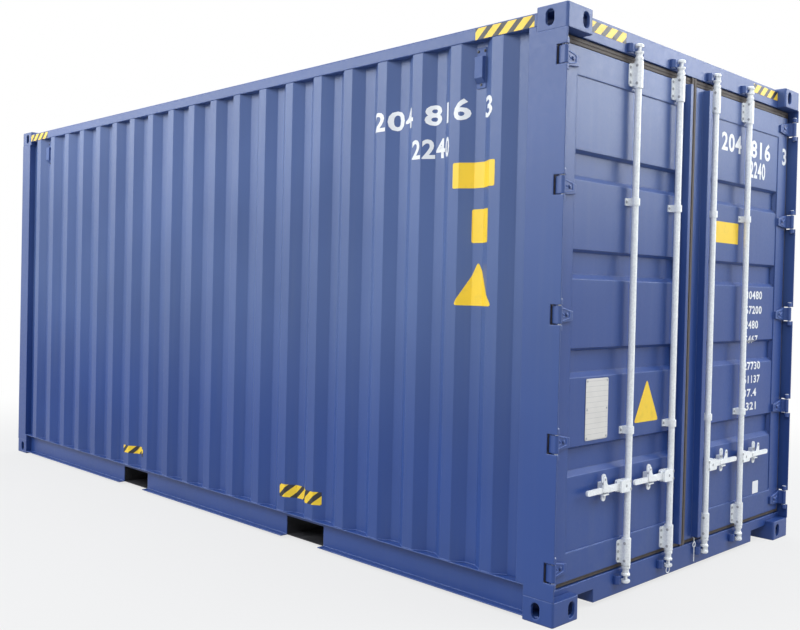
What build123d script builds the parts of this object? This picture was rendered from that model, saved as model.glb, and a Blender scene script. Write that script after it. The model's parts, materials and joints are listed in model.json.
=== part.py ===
from build123d import *
import os

os.makedirs("parts", exist_ok=True)

# A 20 foot high freight container. It stands on the ground with its length along X, its doors
# at the +X end and its origin on the ground under its middle. All sizes are millimetres.

# Overall size
LENGTH = 6058.0
WIDTH = 2550.0
HEIGHT = 2896.0

# Corner castings, hollow blocks with a lock slot and two lashing slots each
CASTING_LENGTH = 178.0
CASTING_WIDTH = 203.0
CASTING_HEIGHT = 118.0
CASTING_FACE_WALL = 28.0
CASTING_OUTER_WALL = 16.0
CASTING_INNER_WALL = 12.0
CASTING_ROUND = 12.0
CASTING_EDGE = 6.0
LOCK_SLOT_LENGTH = 124.0
LOCK_SLOT_WIDTH = 63.5
LOCK_SLOT_INSET_X = 102.5
LOCK_SLOT_INSET_Y = 145.5
LASHING_SLOT_LENGTH = 79.0
LASHING_SLOT_WIDTH = 51.0

# Side rails: a tube above, a channel open outwards below
TOP_RAIL_SIZE = 60.0
TOP_RAIL_WALL = 4.0
TOP_RAIL_DROP = 30.0
BOTTOM_RAIL_Z0 = 17.0
BOTTOM_RAIL_HEIGHT = 153.0
BOTTOM_RAIL_DEPTH = 50.0
BOTTOM_RAIL_WALL = 5.0

# Fork pockets, a little nearer the doors than the middle
POCKET_SPACING = 2069.0
POCKET_OFFSET = 98.0
POCKET_WIDTH = 356.0
POCKET_HEIGHT = 115.0
POCKET_PLATE = 6.0
POCKET_STRAP = 300.0

# Side walls: five welded sheets of four waves each
SHEET = 2.0
WALL_SETBACK = 3.0
WAVE_DEPTH = 45.0
WAVE_OUTER = 72.0
WAVE_SLOPE = 68.0
WAVE_MARGIN_REAR = 201.0
WAVE_MARGIN_FRONT = 186.0
SHEETS_ALONG = 5
WAVES_PER_SHEET = 4
SEAM_EXTRA = 13.0

# Front end
FRONT_SETBACK = 4.0
FRONT_WALL_SETBACK = 2.0
FRONT_WAVE_DEPTH = 45.0
FRONT_WAVE_OUTER = 110.0
FRONT_WAVE_SLOPE = 18.0
FRONT_WAVE_MARGIN = 120.0
FRONT_WAVES = 9
FRONT_RAIL_DEPTH = 62.0
FRONT_RAIL_WALL = 5.0
FRONT_SILL_Z0 = 20.0

# Corner posts
POST_WALL = 6.0
REAR_POST_LENGTH = 223.0
REAR_POST_BOX_DEPTH = 54.0
REAR_POST_BOX_SETBACK = 5.0
FRONT_POST_LENGTH = 157.0
FRONT_POST_DEPTH = 155.0
FRONT_POST_NOSE = 53.0

# Door frame
DOOR_SETBACK = 56.0
FRAME_DEPTH = 120.0
FRAME_WALL = 6.0
FRAME_STOP_GAP = 5.0
SILL_Z0 = 20.0
SILL_HEIGHT = 127.0
HEADER_DROP = 10.0
HEADER_HEIGHT = 110.0
HEADER_STOP = 36.0
SILL_NOTCH_WIDTH = 204.0
SILL_NOTCH_HEIGHT = 68.0

# Door leaves
LEAF_SILL_GAP = 27.0
LEAF_HEADER_GAP = 48.0
LEAF_SIDE_GAP = 40.0
LEAF_INNER_Y = 24.0
LEAF_DEPTH = 48.0
LEAF_WALL = 4.0
HINGE_STILE = 122.0
LOCK_STILE = 100.0
LEAF_TOP_RAIL = 132.0
LEAF_BOTTOM_RAIL = 135.0
PANEL_SETBACK = 5.0
RECESS_DEPTH = 26.0
RECESS_COUNT = 4
RECESS_HEIGHT = 143.0
RECESS_UPPER_SLOPE = 15.0
RECESS_LOWER_SLOPE = 25.0
RECESS_END_SLOPE = 10.0
RECESS_MARGIN_LOW = 570.0
RECESS_MARGIN_HIGH = 557.0
RIDGE_INSET = 57.0
RIDGE_WIDTH = 25.0
RIDGE_HEIGHT = 41.0
RIDGE_WALL = 4.0
RIDGE_END_LOW = 9.0
RIDGE_END_HIGH = 10.0
STRIP_INSET = 81.0
STRIP_WIDTH = 36.0

# Door seals
SEAL_DEPTH = 33.0
SEAL_SETBACK = 10.0
SEAL_SIDE = 27.0
SEAL_GAP = 5.0
SEAL_MEETING = 4.0
SEAL_BEAD = 5.0
SEAL_BEAD_HEIGHT = 3.0
SEAL_LIP = 2.0

# Hinges
HINGE_INSET = 18.0
HINGE_COUNT = 5
HINGE_MARGIN_LOW = 77.0
HINGE_MARGIN_HIGH = 71.0
BARREL_RADIUS = 13.0
BARREL_HEIGHT = 84.0
BARREL_GAP = 5.0
HINGE_PIN_RADIUS = 8.0
HINGE_PIN_HEAD = 3.0
RUNNING_CLEARANCE = 0.06
HINGE_NOTCH_LENGTH = 60.0
BLADE_LENGTH = 142.0
BLADE_THICKNESS = 12.0
BLADE_TOP_DROP = 26.0
BLADE_BOTTOM_RISE = 12.0
LUG_HEIGHT = 26.0
LUG_RADIUS = 14.0

# Lock rods and their cams
ROD_RADIUS = 17.0
ROD_STANDOFF = 32.0
ROD_INNER_Y = 203.0
ROD_OUTER_Y = 626.0
ROD_FOOT = 15.0
ROD_CLEARANCE = 0.5
CAM_RADIUS = 23.0
CAM_DISC = 15.0
CAM_NECK = 24.0
CAM_NECK_RADIUS = 9.0
CAM_LOBE_RADIUS = 7.0
CAM_LOBE_REACH = 14.0

# Keepers, pairs of hooked ears that the cams turn between
KEEPER_HALF = 64.0
KEEPER_HEIGHT = 44.0
KEEPER_EAR = 12.0
KEEPER_LIP = 6.0
KEEPER_MOUTH = 31.0
KEEPER_REACH = 27.0
KEEPER_BEVEL = 12.0
KEEPER_HEADER_INSET = 8.0
KEEPER_SILL_INSET = 28.0

# Rod guides
GUIDE_WALL = 6.0
GUIDE_PLATE = 5.0
GUIDE_ROUND = 14.0
END_GUIDE_HEIGHT = 138.0
END_GUIDE_LOW = 65.0
END_GUIDE_HIGH = 54.0
END_FLANGE_HALF = 44.0
END_FLANGE_HEIGHT = 116.0
MID_GUIDE_LOW = 689.0
MID_GUIDE_HIGH = 700.0
MID_GUIDE_HEIGHT = 37.0
MID_GUIDE_HALF = 40.0

# Handles
HANDLE_RISE = 410.0
HUB_LENGTH = 90.0
HUB_HEIGHT = 62.0
HUB_DEPTH = 40.0
HUB_GAP = 1.0
HUB_ROUND = 10.0
HANDLE_PIN_REACH = 42.0
HANDLE_PIN_RADIUS = 6.0
LEVER_LENGTH = 366.0
LEVER_ROOT = 34.0
LEVER_ROOT_LENGTH = 95.0
LEVER_GRIP = 27.0
LEVER_THICKNESS = 12.0
LEVER_EYE_RADIUS = 15.0

# Handle brackets
BRACKET_REACH = 202.0
BRACKET_WIDTH = 52.0
BRACKET_POST = 34.0
BRACKET_PLATE = 6.0
BRACKET_GAP = 5.0
BRACKET_TOP = 76.0
BRACKET_BOTTOM = 60.0
BRACKET_EYE = 12.0
SHELF_PLATE = 6.0

# Roof
ROOF_RIB_HEIGHT = 20.0
ROOF_RIB_WIDTH = 105.0
ROOF_RIB_SLOPE = 14.0
ROOF_RIB_COUNT = 26
ROOF_RIB_MARGIN = 238.0
ROOF_SIDE_MARGIN = 110.0
ROOF_LAP = 8.0

# Floor
FLOOR_THICKNESS = 28.0
BOARD_GAP = 3.0
BOARDS_ALONG = 5
CROSS_HEIGHT = 122.0
CROSS_FLANGE = 45.0
CROSS_WALL = 4.0
CROSS_ROWS = (6, 5, 5)

# Vents
VENT_SIDE_GAP = 4.0
VENT_HEIGHT = 206.0
VENT_LIP = 4.0
VENT_BODY_HEIGHT = 106.0
VENT_BODY_DEPTH = 28.0
VENT_DROP = 130.0
VENT_PLATE = 3.0
VENT_ROUND = 6.0

# A cut runs this far past the face that it opens
PAST = 1.0

# Positions that follow from the sizes
half_length = LENGTH / 2
half_width = WIDTH / 2
casting_x = half_length - CASTING_LENGTH
casting_y = half_width - CASTING_WIDTH
casting_top_z = HEIGHT - CASTING_HEIGHT
slot_x = half_length - LOCK_SLOT_INSET_X
slot_y = half_width - LOCK_SLOT_INSET_Y
top_rail_z1 = HEIGHT - TOP_RAIL_DROP
top_rail_z0 = top_rail_z1 - TOP_RAIL_SIZE
floor_z = BOTTOM_RAIL_Z0 + BOTTOM_RAIL_HEIGHT
rail_inner_y = half_width - BOTTOM_RAIL_DEPTH
pocket_z0 = BOTTOM_RAIL_Z0 + BOTTOM_RAIL_WALL
pocket_z1 = pocket_z0 + POCKET_HEIGHT
pocket_centres = [POCKET_OFFSET - POCKET_SPACING / 2, POCKET_OFFSET + POCKET_SPACING / 2]
door_x = half_length - DOOR_SETBACK
leaf_back_x = door_x - LEAF_DEPTH
stop_x = leaf_back_x - FRAME_STOP_GAP
frame_x0 = door_x - FRAME_DEPTH
post_x0 = half_length - REAR_POST_LENGTH
post_box_x0 = post_x0 + REAR_POST_BOX_SETBACK
post_box_y = half_width - REAR_POST_BOX_DEPTH
post_plate_y = half_width - POST_WALL
front_x = -half_length + FRONT_SETBACK
front_post_x1 = -half_length + FRONT_POST_LENGTH
front_post_y = half_width - FRONT_POST_DEPTH
sill_z1 = SILL_Z0 + SILL_HEIGHT
header_z1 = HEIGHT - HEADER_DROP
header_z0 = header_z1 - HEADER_HEIGHT
leaf_z0 = sill_z1 + LEAF_SILL_GAP
leaf_z1 = header_z0 - LEAF_HEADER_GAP
leaf_outer_y = half_width - LEAF_SIDE_GAP
panel_x = door_x - PANEL_SETBACK
panel_y0 = LEAF_INNER_Y + LOCK_STILE
panel_y1 = leaf_outer_y - HINGE_STILE
hinge_x = half_length - HINGE_INSET
hinge_y = half_width - HINGE_INSET
notch_height = BARREL_HEIGHT + 2 * BARREL_GAP
rod_x = door_x + ROD_STANDOFF
rod_z0 = sill_z1 - ROD_FOOT
rod_z1 = header_z0
handle_z = leaf_z0 + HANDLE_RISE
lever_x0 = rod_x - LEVER_THICKNESS / 2


def spread(start, end, count):
    # Evenly spaced values with one at each end.
    return [start + k * (end - start) / (count - 1) for k in range(count)]


def block(x0, x1, y0, y1, z0, z1, mode=Mode.ADD):
    # A block between two corners, in the part that is being made.
    with Locations(((x0 + x1) / 2, (y0 + y1) / 2, (z0 + z1) / 2)):
        Box(abs(x1 - x0), abs(y1 - y0), abs(z1 - z0), mode=mode)


hinge_levels = spread(leaf_z0 + HINGE_MARGIN_LOW, leaf_z1 - HINGE_MARGIN_HIGH, HINGE_COUNT)
recess_levels = spread(leaf_z0 + RECESS_MARGIN_LOW, leaf_z1 - RECESS_MARGIN_HIGH, RECESS_COUNT)
wave_run = (post_box_x0 - WAVE_MARGIN_REAR) - (front_post_x1 + WAVE_MARGIN_FRONT)
wave_total = SHEETS_ALONG * WAVES_PER_SHEET
wave_pitch = (wave_run - (SHEETS_ALONG - 1) * SEAM_EXTRA) / (wave_total - 1)
wave_centres = [
    front_post_x1 + WAVE_MARGIN_FRONT + k * wave_pitch + (k // WAVES_PER_SHEET) * SEAM_EXTRA
    for k in range(wave_total)
]

# Bottom corner castings. The outer edges are rounded, the slots open into the hollow.
with BuildPart() as bottom_castings:
    block(casting_x, half_length, casting_y, half_width, 0, CASTING_HEIGHT)
    outer_corners = bottom_castings.edges().filter_by(Axis.Z).sort_by(Axis.X)[-2:]
    fillet(outer_corners, CASTING_ROUND)
    fillet(bottom_castings.faces().sort_by(Axis.Z)[0].edges(), CASTING_EDGE)
    block(casting_x + CASTING_INNER_WALL, half_length - CASTING_OUTER_WALL,
          casting_y + CASTING_INNER_WALL, half_width - CASTING_OUTER_WALL,
          CASTING_FACE_WALL, CASTING_HEIGHT - CASTING_FACE_WALL, mode=Mode.SUBTRACT)
    with BuildSketch(Plane.XY):
        with Locations((slot_x, slot_y)):
            SlotOverall(LOCK_SLOT_LENGTH, LOCK_SLOT_WIDTH)
    extrude(amount=CASTING_FACE_WALL + PAST, mode=Mode.SUBTRACT)
    with BuildSketch(Plane.XZ.offset(-half_width)):
        with Locations((slot_x, CASTING_HEIGHT / 2)):
            SlotOverall(LASHING_SLOT_LENGTH, LASHING_SLOT_WIDTH, rotation=90)
    extrude(amount=CASTING_OUTER_WALL + PAST, mode=Mode.SUBTRACT)
    with BuildSketch(Plane.YZ.offset(half_length)):
        with Locations((slot_y, CASTING_HEIGHT / 2)):
            SlotOverall(LASHING_SLOT_LENGTH, LASHING_SLOT_WIDTH, rotation=90)
    extrude(amount=-CASTING_OUTER_WALL - PAST, mode=Mode.SUBTRACT)
    mirror(about=Plane.XZ)
    mirror(about=Plane.YZ)

with BuildPart() as top_castings:
    mirror(bottom_castings.part, about=Plane.XY.offset(HEIGHT / 2))

# Rear post: a wide outer plate with a folded box behind it, notched at each hinge
with BuildPart() as rear_post_right:
    with BuildSketch(Plane.XY.offset(CASTING_HEIGHT)):
        with Locations(((post_box_x0 + stop_x) / 2, (post_box_y + half_width) / 2)):
            RectangleRounded(stop_x - post_box_x0, half_width - post_box_y, POST_WALL)
        with Locations(((post_x0 + half_length) / 2, (post_plate_y + half_width) / 2)):
            Rectangle(half_length - post_x0, POST_WALL)
        with Locations(((post_box_x0 + stop_x) / 2, (post_box_y + half_width) / 2)):
            Rectangle(stop_x - post_box_x0 - 2 * POST_WALL,
                      half_width - post_box_y - 2 * POST_WALL, mode=Mode.SUBTRACT)
    extrude(amount=top_rail_z0 - CASTING_HEIGHT)
    # The side rails run past the casting's inner end, below and above the post
    block(post_x0 - PAST, casting_x, 0, half_width + PAST, CASTING_HEIGHT - PAST, floor_z,
          mode=Mode.SUBTRACT)
    block(casting_x, half_length + PAST, 0, half_width + PAST, casting_top_z,
          top_rail_z0 + PAST, mode=Mode.SUBTRACT)
    for z in hinge_levels:
        block(half_length - HINGE_NOTCH_LENGTH, half_length + PAST, post_plate_y - PAST,
              half_width + PAST, z - notch_height / 2, z + notch_height / 2,
              mode=Mode.SUBTRACT)
        for z_lug in (z - notch_height / 2 - LUG_HEIGHT, z + notch_height / 2):
            with BuildSketch(Plane.XY.offset(z_lug)):
                with Locations((hinge_x, hinge_y)):
                    Circle(LUG_RADIUS)
                with Locations((hinge_x, (hinge_y + post_plate_y) / 2)):
                    Rectangle(2 * LUG_RADIUS, post_plate_y - hinge_y)
                with Locations((hinge_x, hinge_y)):
                    Circle(HINGE_PIN_RADIUS + RUNNING_CLEARANCE, mode=Mode.SUBTRACT)
            extrude(amount=LUG_HEIGHT)
        with Locations((hinge_x, hinge_y, z)):
            Cylinder(HINGE_PIN_RADIUS + RUNNING_CLEARANCE, notch_height + 2 * LUG_HEIGHT,
                     mode=Mode.SUBTRACT)

with BuildPart() as rear_post_left:
    mirror(rear_post_right.part, about=Plane.XZ)

# Hinge pins, each a headed bar through its two lugs
with BuildPart() as hinge_pins:
    pin_length = notch_height + 2 * LUG_HEIGHT
    for z in hinge_levels:
        with Locations((hinge_x, hinge_y, z)):
            Cylinder(HINGE_PIN_RADIUS, pin_length)
        with Locations((hinge_x, hinge_y, z + pin_length / 2 + HINGE_PIN_HEAD / 2)):
            Cylinder(HINGE_PIN_RADIUS + HINGE_PIN_HEAD, HINGE_PIN_HEAD)
    mirror(about=Plane.XZ)

# Front post: one folded hollow section, with a foot beside the casting for the side wall
with BuildPart() as front_post_right:
    with BuildSketch(Plane.XY.offset(CASTING_HEIGHT)):
        with BuildLine():
            Polyline((front_x, half_width), (front_post_x1, half_width),
                     (front_post_x1, post_box_y), (front_x + FRONT_POST_NOSE, front_post_y),
                     (front_x, front_post_y), close=True)
        make_face()
        offset(amount=-POST_WALL, kind=Kind.INTERSECTION, mode=Mode.SUBTRACT)
    extrude(amount=casting_top_z - CASTING_HEIGHT)
    block(front_post_x1, -casting_x, post_box_y, half_width, CASTING_HEIGHT, floor_z)

with BuildPart() as front_post_left:
    mirror(front_post_right.part, about=Plane.XZ)

# Top side rail, a square tube
with BuildPart() as top_rail_right:
    with BuildSketch(Plane.YZ.offset(-casting_x)):
        with Locations((half_width - TOP_RAIL_SIZE / 2, top_rail_z1 - TOP_RAIL_SIZE / 2)):
            RectangleRounded(TOP_RAIL_SIZE, TOP_RAIL_SIZE, TOP_RAIL_WALL)
            Rectangle(TOP_RAIL_SIZE - 2 * TOP_RAIL_WALL, TOP_RAIL_SIZE - 2 * TOP_RAIL_WALL,
                      mode=Mode.SUBTRACT)
    extrude(amount=2 * casting_x)

with BuildPart() as top_rail_left:
    mirror(top_rail_right.part, about=Plane.XZ)

# Bottom side rail, a channel open outwards, cut through at the fork pockets
with BuildPart() as bottom_rail_right:
    with BuildSketch(Plane.YZ.offset(-casting_x)):
        with Locations(((rail_inner_y + half_width) / 2, (BOTTOM_RAIL_Z0 + floor_z) / 2)):
            Rectangle(BOTTOM_RAIL_DEPTH, BOTTOM_RAIL_HEIGHT)
        with Locations(((rail_inner_y + half_width) / 2 + BOTTOM_RAIL_WALL,
                        (BOTTOM_RAIL_Z0 + floor_z) / 2)):
            Rectangle(BOTTOM_RAIL_DEPTH, BOTTOM_RAIL_HEIGHT - 2 * BOTTOM_RAIL_WALL,
                      mode=Mode.SUBTRACT)
    extrude(amount=2 * casting_x)
    with BuildSketch(Plane.XZ.offset(-half_width - PAST)):
        for x in pocket_centres:
            with Locations((x, (BOTTOM_RAIL_Z0 - PAST + pocket_z1) / 2)):
                Rectangle(POCKET_WIDTH, pocket_z1 - BOTTOM_RAIL_Z0 + PAST)
    extrude(amount=BOTTOM_RAIL_DEPTH + 2 * PAST, mode=Mode.SUBTRACT)

with BuildPart() as bottom_rail_left:
    mirror(bottom_rail_right.part, about=Plane.XZ)


def folded_sheet(centres, outer, slope, depth, start, end):
    # Both faces of a trapezoid wave, as (along, level) points: level 0 is the outer face.
    near = [(start, depth)]
    for c in centres:
        near += [(c - outer / 2 - slope, depth), (c - outer / 2, 0.0),
                 (c + outer / 2, 0.0), (c + outer / 2 + slope, depth)]
    near.append((end, depth))
    far = [(along, level + SHEET) for along, level in reversed(near)]
    return near + far


# Side wall: one sheet folded into waves, standing on the rail between the posts
with BuildPart() as side_wall_right:
    wall_face_y = half_width - WALL_SETBACK
    with BuildSketch(Plane.XY.offset(floor_z)):
        with BuildLine():
            Polyline(*[(x, wall_face_y - level) for x, level in
                       folded_sheet(wave_centres, WAVE_OUTER, WAVE_SLOPE, WAVE_DEPTH,
                                    front_post_x1, post_box_x0)], close=True)
        make_face()
    extrude(amount=top_rail_z0 - floor_z)
    block(-half_length, -casting_x, 0, half_width, casting_top_z, top_rail_z0 + PAST,
          mode=Mode.SUBTRACT)

with BuildPart() as side_wall_left:
    mirror(side_wall_right.part, about=Plane.XZ)

# Front wall: upright folds between the front posts and rails
with BuildPart() as front_wall:
    wall_face_x = front_x + FRONT_WALL_SETBACK
    front_centres = spread(-front_post_y + FRONT_WAVE_MARGIN,
                           front_post_y - FRONT_WAVE_MARGIN, FRONT_WAVES)
    with BuildSketch(Plane.XY.offset(CASTING_HEIGHT)):
        with BuildLine():
            Polyline(*[(wall_face_x + level, y) for y, level in
                       folded_sheet(front_centres, FRONT_WAVE_OUTER, FRONT_WAVE_SLOPE,
                                    FRONT_WAVE_DEPTH, -front_post_y, front_post_y)],
                     close=True)
        make_face()
    extrude(amount=casting_top_z - CASTING_HEIGHT)

# Front sill and front header, box beams between the castings
with BuildPart() as front_sill:
    with BuildSketch(Plane.XZ.offset(-casting_y)):
        with Locations((front_x + FRONT_RAIL_DEPTH / 2, (FRONT_SILL_Z0 + CASTING_HEIGHT) / 2)):
            RectangleRounded(FRONT_RAIL_DEPTH, CASTING_HEIGHT - FRONT_SILL_Z0, FRONT_RAIL_WALL)
            Rectangle(FRONT_RAIL_DEPTH - 2 * FRONT_RAIL_WALL,
                      CASTING_HEIGHT - FRONT_SILL_Z0 - 2 * FRONT_RAIL_WALL,
                      mode=Mode.SUBTRACT)
    extrude(amount=2 * casting_y)

with BuildPart() as front_header:
    with BuildSketch(Plane.XZ.offset(-casting_y)):
        with Locations((front_x + FRONT_RAIL_DEPTH / 2, (casting_top_z + top_rail_z1) / 2)):
            Rectangle(FRONT_RAIL_DEPTH, top_rail_z1 - casting_top_z)
            Rectangle(FRONT_RAIL_DEPTH - 2 * FRONT_RAIL_WALL,
                      top_rail_z1 - casting_top_z - 2 * FRONT_RAIL_WALL, mode=Mode.SUBTRACT)
    extrude(amount=2 * casting_y)

# Door sill: a hollow stepped beam, with an open notch beside each casting
with BuildPart() as door_sill:
    notch_y = casting_y - SILL_NOTCH_WIDTH
    notch_z = SILL_Z0 + SILL_NOTCH_HEIGHT
    with BuildSketch(Plane.XZ.offset(-post_box_y)):
        with BuildLine():
            Polyline((frame_x0, SILL_Z0), (door_x, SILL_Z0), (door_x, sill_z1),
                     (stop_x, sill_z1), (stop_x, floor_z), (frame_x0, floor_z), close=True)
        make_face()
        offset(amount=-FRAME_WALL, kind=Kind.INTERSECTION, mode=Mode.SUBTRACT)
    extrude(amount=2 * post_box_y)
    for side in (-1, 1):
        block(frame_x0 - PAST, door_x + PAST, side * casting_y, side * (post_box_y + PAST),
              SILL_Z0 - PAST, CASTING_HEIGHT, mode=Mode.SUBTRACT)
        block(frame_x0 - PAST, door_x + PAST, side * notch_y, side * (casting_y + PAST),
              SILL_Z0 - PAST, notch_z, mode=Mode.SUBTRACT)
        # The notch is boxed in by a roof and an inner cheek
        block(frame_x0, door_x, side * (notch_y - FRAME_WALL), side * casting_y,
              notch_z, notch_z + FRAME_WALL)
        block(frame_x0, door_x, side * (notch_y - FRAME_WALL), side * notch_y,
              SILL_Z0, notch_z)
        # A closing plate runs on over the casting to the post's outer plate
        block(door_x - FRAME_WALL, door_x, side * post_box_y, side * post_plate_y,
              CASTING_HEIGHT, sill_z1)

# Door header: a hollow stepped beam, cut back to its stop under the castings
with BuildPart() as door_header:
    with BuildSketch(Plane.XZ.offset(-post_box_y)):
        with BuildLine():
            Polyline((frame_x0, header_z0 - HEADER_STOP), (stop_x, header_z0 - HEADER_STOP),
                     (stop_x, header_z0), (door_x, header_z0), (door_x, header_z1),
                     (frame_x0, header_z1), close=True)
        make_face()
        offset(amount=-FRAME_WALL, kind=Kind.INTERSECTION, mode=Mode.SUBTRACT)
    extrude(amount=2 * post_box_y)
    for side in (-1, 1):
        block(frame_x0 - PAST, door_x + PAST, side * casting_y, side * (post_box_y + PAST),
              casting_top_z, header_z1 + PAST, mode=Mode.SUBTRACT)
        block(stop_x, door_x + PAST, side * casting_y, side * (post_box_y + PAST),
              header_z0 - PAST, header_z1 + PAST, mode=Mode.SUBTRACT)

# Keepers on the header and the sill, one pair of hooked ears at each rod end
with BuildPart() as rod_keepers:
    keeper_x1 = door_x + KEEPER_REACH
    for z in (header_z0 + KEEPER_HEADER_INSET, sill_z1 - KEEPER_SILL_INSET - KEEPER_HEIGHT):
        with BuildSketch(Plane.XY.offset(z)):
            for rod_y in (ROD_INNER_Y, ROD_OUTER_Y):
                for side in (-1, 1):
                    out, ear, lip = [rod_y + side * reach for reach in
                                     (KEEPER_HALF, KEEPER_HALF - KEEPER_EAR, KEEPER_MOUTH)]
                    with BuildLine():
                        Polyline((door_x, out), (keeper_x1 - KEEPER_BEVEL, out),
                                 (keeper_x1, out - side * KEEPER_BEVEL), (keeper_x1, lip),
                                 (keeper_x1 - KEEPER_LIP, lip), (keeper_x1 - KEEPER_LIP, ear),
                                 (door_x, ear), close=True)
                    make_face()
        extrude(amount=KEEPER_HEIGHT)
    mirror(about=Plane.XZ)

# Roof: one sheet on the rails, with ribs pressed up across it
with BuildPart() as roof_panel:
    block(-casting_x, casting_x, -half_width + ROOF_LAP, half_width - ROOF_LAP,
          top_rail_z1, top_rail_z1 + SHEET)
    block(front_x, frame_x0, -casting_y + PAST, casting_y - PAST,
          top_rail_z1, top_rail_z1 + SHEET)
    rib_centres = spread(-casting_x + ROOF_RIB_MARGIN, casting_x - ROOF_RIB_MARGIN,
                         ROOF_RIB_COUNT)
    rib_length = 2 * (half_width - ROOF_SIDE_MARGIN)
    for foot_z, mode in ((top_rail_z1 + SHEET, Mode.ADD), (top_rail_z1, Mode.SUBTRACT)):
        for x in rib_centres:
            with BuildSketch(Plane.XY.offset(foot_z)):
                with Locations((x, 0)):
                    Rectangle(ROOF_RIB_WIDTH, rib_length)
            with BuildSketch(Plane.XY.offset(foot_z + ROOF_RIB_HEIGHT)):
                with Locations((x, 0)):
                    Rectangle(ROOF_RIB_WIDTH - 2 * ROOF_RIB_SLOPE,
                              rib_length - 2 * ROOF_RIB_SLOPE)
            loft(mode=mode)

# Floor boards between the rails, notched round the front posts
with BuildPart() as floor_boards:
    board_x0 = front_x + FRONT_RAIL_DEPTH + BOARD_GAP
    board_length = (frame_x0 - board_x0) / BOARDS_ALONG
    board_width = post_box_y - 1.5 * BOARD_GAP
    with BuildSketch(Plane.XY.offset(floor_z - FLOOR_THICKNESS)):
        for k in range(BOARDS_ALONG):
            for side in (-1, 1):
                with Locations((board_x0 + (k + 0.5) * board_length - BOARD_GAP / 2,
                                side * (BOARD_GAP + board_width) / 2)):
                    Rectangle(board_length - BOARD_GAP, board_width)
        for side in (-1, 1):
            with Locations((front_x + FRONT_POST_LENGTH / 2,
                            side * (half_width - FRONT_POST_DEPTH / 2))):
                Rectangle(FRONT_POST_LENGTH + 2 * BOARD_GAP, FRONT_POST_DEPTH + 2 * BOARD_GAP,
                          mode=Mode.SUBTRACT)
    extrude(amount=FLOOR_THICKNESS)

# Cross members, channels between the bottom rails, in three rows round the fork pockets
with BuildPart() as cross_members:
    bays = [(front_x + FRONT_RAIL_DEPTH, pocket_centres[0] - POCKET_WIDTH / 2),
            (pocket_centres[0] + POCKET_WIDTH / 2, pocket_centres[1] - POCKET_WIDTH / 2),
            (pocket_centres[1] + POCKET_WIDTH / 2, frame_x0)]
    member_x = []
    for (start, end), count in zip(bays, CROSS_ROWS):
        member_x += spread(start, end, count + 2)[1:-1]
    member_z = floor_z - FLOOR_THICKNESS - CROSS_HEIGHT / 2
    with BuildSketch(Plane.XZ.offset(-rail_inner_y)):
        for x in member_x:
            with Locations((x, member_z)):
                Rectangle(CROSS_FLANGE, CROSS_HEIGHT)
            with Locations((x + CROSS_WALL, member_z)):
                Rectangle(CROSS_FLANGE, CROSS_HEIGHT - 2 * CROSS_WALL, mode=Mode.SUBTRACT)
    extrude(amount=2 * rail_inner_y)

# Fork pockets: open tunnels from rail to rail, with a strap under each mouth
with BuildPart() as fork_pockets:
    tunnel_z1 = floor_z - FLOOR_THICKNESS
    with BuildSketch(Plane.XZ.offset(-rail_inner_y)):
        for x in pocket_centres:
            with Locations((x, (BOTTOM_RAIL_Z0 + tunnel_z1) / 2)):
                Rectangle(POCKET_WIDTH + 2 * POCKET_PLATE, tunnel_z1 - BOTTOM_RAIL_Z0)
            with Locations((x, (BOTTOM_RAIL_Z0 - PAST + pocket_z1) / 2)):
                Rectangle(POCKET_WIDTH, pocket_z1 - BOTTOM_RAIL_Z0 + PAST, mode=Mode.SUBTRACT)
    extrude(amount=2 * rail_inner_y)
    with BuildSketch(Plane.XY.offset(BOTTOM_RAIL_Z0)):
        for x in pocket_centres:
            for side in (-1, 1):
                with Locations((x, side * (rail_inner_y - POCKET_STRAP / 2))):
                    Rectangle(POCKET_WIDTH + 2 * PAST, POCKET_STRAP)
    extrude(amount=BOTTOM_RAIL_WALL)

# Vents: hooded boxes on a backing plate, in the first and last inner folds of each wall
with BuildPart() as vents:
    vent_y = half_width - WALL_SETBACK - WAVE_DEPTH
    vent_z = top_rail_z0 - VENT_DROP
    hood_y = vent_y + VENT_BODY_DEPTH
    vent_width = wave_pitch - WAVE_OUTER - 2 * WAVE_SLOPE - 2 * VENT_SIDE_GAP
    body_width = vent_width - 2 * VENT_LIP
    folds = [(wave_centres[0] + wave_centres[1]) / 2, (wave_centres[-2] + wave_centres[-1]) / 2]
    for x in folds:
        with BuildSketch(Plane.XZ.offset(-vent_y)):
            with Locations((x, vent_z)):
                RectangleRounded(vent_width, VENT_HEIGHT, VENT_ROUND)
        extrude(amount=-VENT_PLATE)
        with BuildSketch(Plane.YZ.offset(x - body_width / 2)):
            low, high = vent_z - VENT_BODY_HEIGHT / 2, vent_z + VENT_BODY_HEIGHT / 2
            with BuildLine():
                Polyline((vent_y, low - VENT_BODY_DEPTH), (hood_y, low), (hood_y, high),
                         (vent_y, high + VENT_ROUND), close=True)
            make_face()
        extrude(amount=body_width)
    mirror(about=Plane.XZ)

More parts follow.
